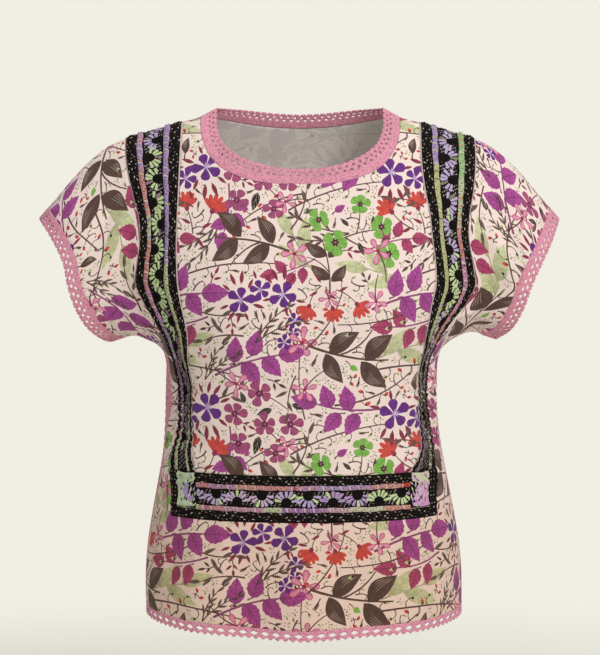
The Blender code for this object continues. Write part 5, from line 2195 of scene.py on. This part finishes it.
class BLOUSE_OT_edgings(bpy.types.Operator):
    """Makes the crocheted edgings of the neck, cuffs and hem, and the side insertions."""

    bl_idname = "blouse.edgings"
    bl_label = "Crocheted edgings"

    def execute(self, context):
        front = neck_lines((NECK_SEAM_FRONT, NECK_EDGE_FRONT), False)
        back = neck_lines((NECK_SEAM_BACK, NECK_EDGE_BACK), True)
        for name, own, other, step in (("front", front, back, 1), ("back", back, front, -1)):
            seam, edge = (meeting(line, across)[::step] for line, across in zip(own, other))
            lace_piece(context, "neck_lace_" + name, seam, edge, NECK_FACES, NECK_LACE)
        for side, name in SIDES:
            points, _, shares = sleeve_grid(side)
            seam = points[:, -1]
            edge = seam + cuff_way(side, shares) * CUFF_LACE_WIDTH
            under = SLEEVE_CELLS // 2
            faces = (1, 1, 1), (-side * 0.2, 0.0, 0.2)
            for half, part in (("front", slice(0, under + 1)), ("back", slice(under, None))):
                node = f"cuff_lace_{name}_{half}"
                lace_piece(context, node, seam[part][::side], edge[part][::side], faces, CUFF_LACE)
            outline = insertion_outline(side)
            cut = cut_flat(outline, insertion_holes(outline), [], INSERTION_CELL)
            crochet_piece(context, "side_lace_" + name, cut, insertion_place(side))
        left, right = hem_ends()
        for name, start, end in (("front", left, right), ("back", right, 2 * math.pi + left)):
            line = hem_line(start, end, 400)
            seam = torso(*line.T)[0][::-1]
            edge = seam - (0, 0, HEM_LACE_WIDTH)
            lace_piece(context, "hem_lace_" + name, seam, edge, HEM_FACES, HEM_LACE)
        return {"FINISHED"}


# Soft boxes: name, place, size, power
LIGHTS = (
    ("Key", (1.3, -2.1, 1.2), 1.0, 44),
    ("Fill", (-1.9, -2.2, 0.5), 1.6, 9),
    ("Top", (0.0, 0.5, 2.2), 1.6, 16),
    ("Behind", (0.4, 2.4, 0.9), 1.8, 14),
)
LIGHTS_AIM = Vector((0, 0, -0.3))
WORLD_LIGHT = 0.34
FLOOR_RADIUS = 4.0
PAPER, BACKDROP, AMBIENT = "F3F0E6", "F1EEE3", "F4F3F0"
# The camera: what it aims at, how far from that it stands, how far it looks down, and its lens
AIM, CAMERA_DISTANCE, CAMERA_PITCH, LENS = Vector((-0.0024, 0.0, -0.2566)), 2.0, math.radians(3.0), 101.7


def paper_floor(name):
    """Matt paper that fades out into the pale background."""
    made, tree, shader = new_material(name)
    shader.inputs["Base Color"].default_value = linear(PAPER)
    shader.inputs["Roughness"].default_value = 1.0
    flat = times(tree, add(tree, "TexCoord").outputs["Object"], (1.0, 1.0, 0.0))
    far = add(tree, "VectorMath", {0: flat}, operation="LENGTH").outputs["Value"]
    fade = ranged(tree, far, 0.7, 1.9, eased_ends=True)
    clear = add(tree, "BsdfTransparent").outputs[0]
    both = add(tree, "MixShader", {0: fade, 1: shader.outputs[0], 2: clear})
    tree.links.new(both.outputs[0], tree.nodes["Material Output"].inputs["Surface"])
    return made


class BLOUSE_OT_stage(bpy.types.Operator):
    """Makes the floor, the lights and the camera."""

    bl_idname = "blouse.stage"
    bl_label = "Stage"

    def execute(self, context):
        bm = bmesh.new()
        bmesh.ops.create_circle(bm, cap_ends=True, segments=64, radius=FLOOR_RADIUS)
        bmesh.ops.translate(bm, verts=bm.verts, vec=(0, 0, context.scene.blouse.floor))
        mesh = bpy.data.meshes.new("Floor")
        bm.to_mesh(mesh)
        bm.free()
        floor = bpy.data.objects.new("Floor", mesh)
        context.scene.collection.objects.link(floor)
        mesh.materials.append(material("Matt paper floor", paper_floor))
        for name, where, size, power in LIGHTS:
            light = bpy.data.lights.new(name, "AREA")
            light.size = size
            light.energy = power
            lamp = bpy.data.objects.new(name, light)
            lamp.location = where
            lamp.rotation_euler = (LIGHTS_AIM - lamp.location).to_track_quat("-Z", "Y").to_euler()
            context.scene.collection.objects.link(lamp)
        world = bpy.data.worlds.new("Studio")
        world.use_nodes = True
        tree = world.node_tree
        seen = add(tree, "LightPath").outputs["Is Camera Ray"]
        plain = add(tree, "Background", {"Color": linear(BACKDROP), "Strength": 1.0})
        lit = add(tree, "Background", {"Color": linear(AMBIENT), "Strength": WORLD_LIGHT})
        both = add(tree, "MixShader", {0: seen, 1: lit.outputs[0], 2: plain.outputs[0]})
        tree.links.new(both.outputs[0], tree.nodes["World Output"].inputs["Surface"])
        context.scene.world = world
        camera = bpy.data.cameras.new("Camera")
        camera.sensor_fit = "HORIZONTAL"
        camera.sensor_width = 36.0
        camera.lens = LENS
        view = bpy.data.objects.new("Camera", camera)
        back = Vector((0, -math.cos(CAMERA_PITCH), math.sin(CAMERA_PITCH)))
        view.location = AIM + back * CAMERA_DISTANCE
        view.rotation_euler = (AIM - view.location).to_track_quat("-Z", "Y").to_euler()
        context.scene.collection.objects.link(view)
        context.scene.camera = view
        context.scene.view_settings.view_transform = "Standard"
        return {"FINISHED"}


class BLOUSE_PT_panel(bpy.types.Panel):
    bl_label = "Drawn-thread blouse"
    bl_idname = "BLOUSE_PT_panel"
    bl_space_type = "VIEW_3D"
    bl_region_type = "UI"
    bl_category = "Blouse"

    def draw(self, context):
        for name in ("ground", "edging", "cell", "floor"):
            self.layout.prop(context.scene.blouse, name)
        for operator in OPERATORS:
            self.layout.operator(operator.bl_idname)


OPERATORS = (
    BLOUSE_OT_stage,
    BLOUSE_OT_front,
    BLOUSE_OT_back,
    BLOUSE_OT_sleeves,
    BLOUSE_OT_bands,
    BLOUSE_OT_edgings,
)
CLASSES = (BlouseSettings, *OPERATORS, BLOUSE_PT_panel)


def register():
    for cls in CLASSES:
        bpy.utils.register_class(cls)
    bpy.types.Scene.blouse = PointerProperty(type=BlouseSettings)


def unregister():
    del bpy.types.Scene.blouse
    for cls in reversed(CLASSES):
        bpy.utils.unregister_class(cls)


def main():
    register()
    for operator in OPERATORS:
        name = operator.bl_idname.split(".")[1]
        getattr(bpy.ops.blouse, name)()


if __name__ == "__main__":
    main()
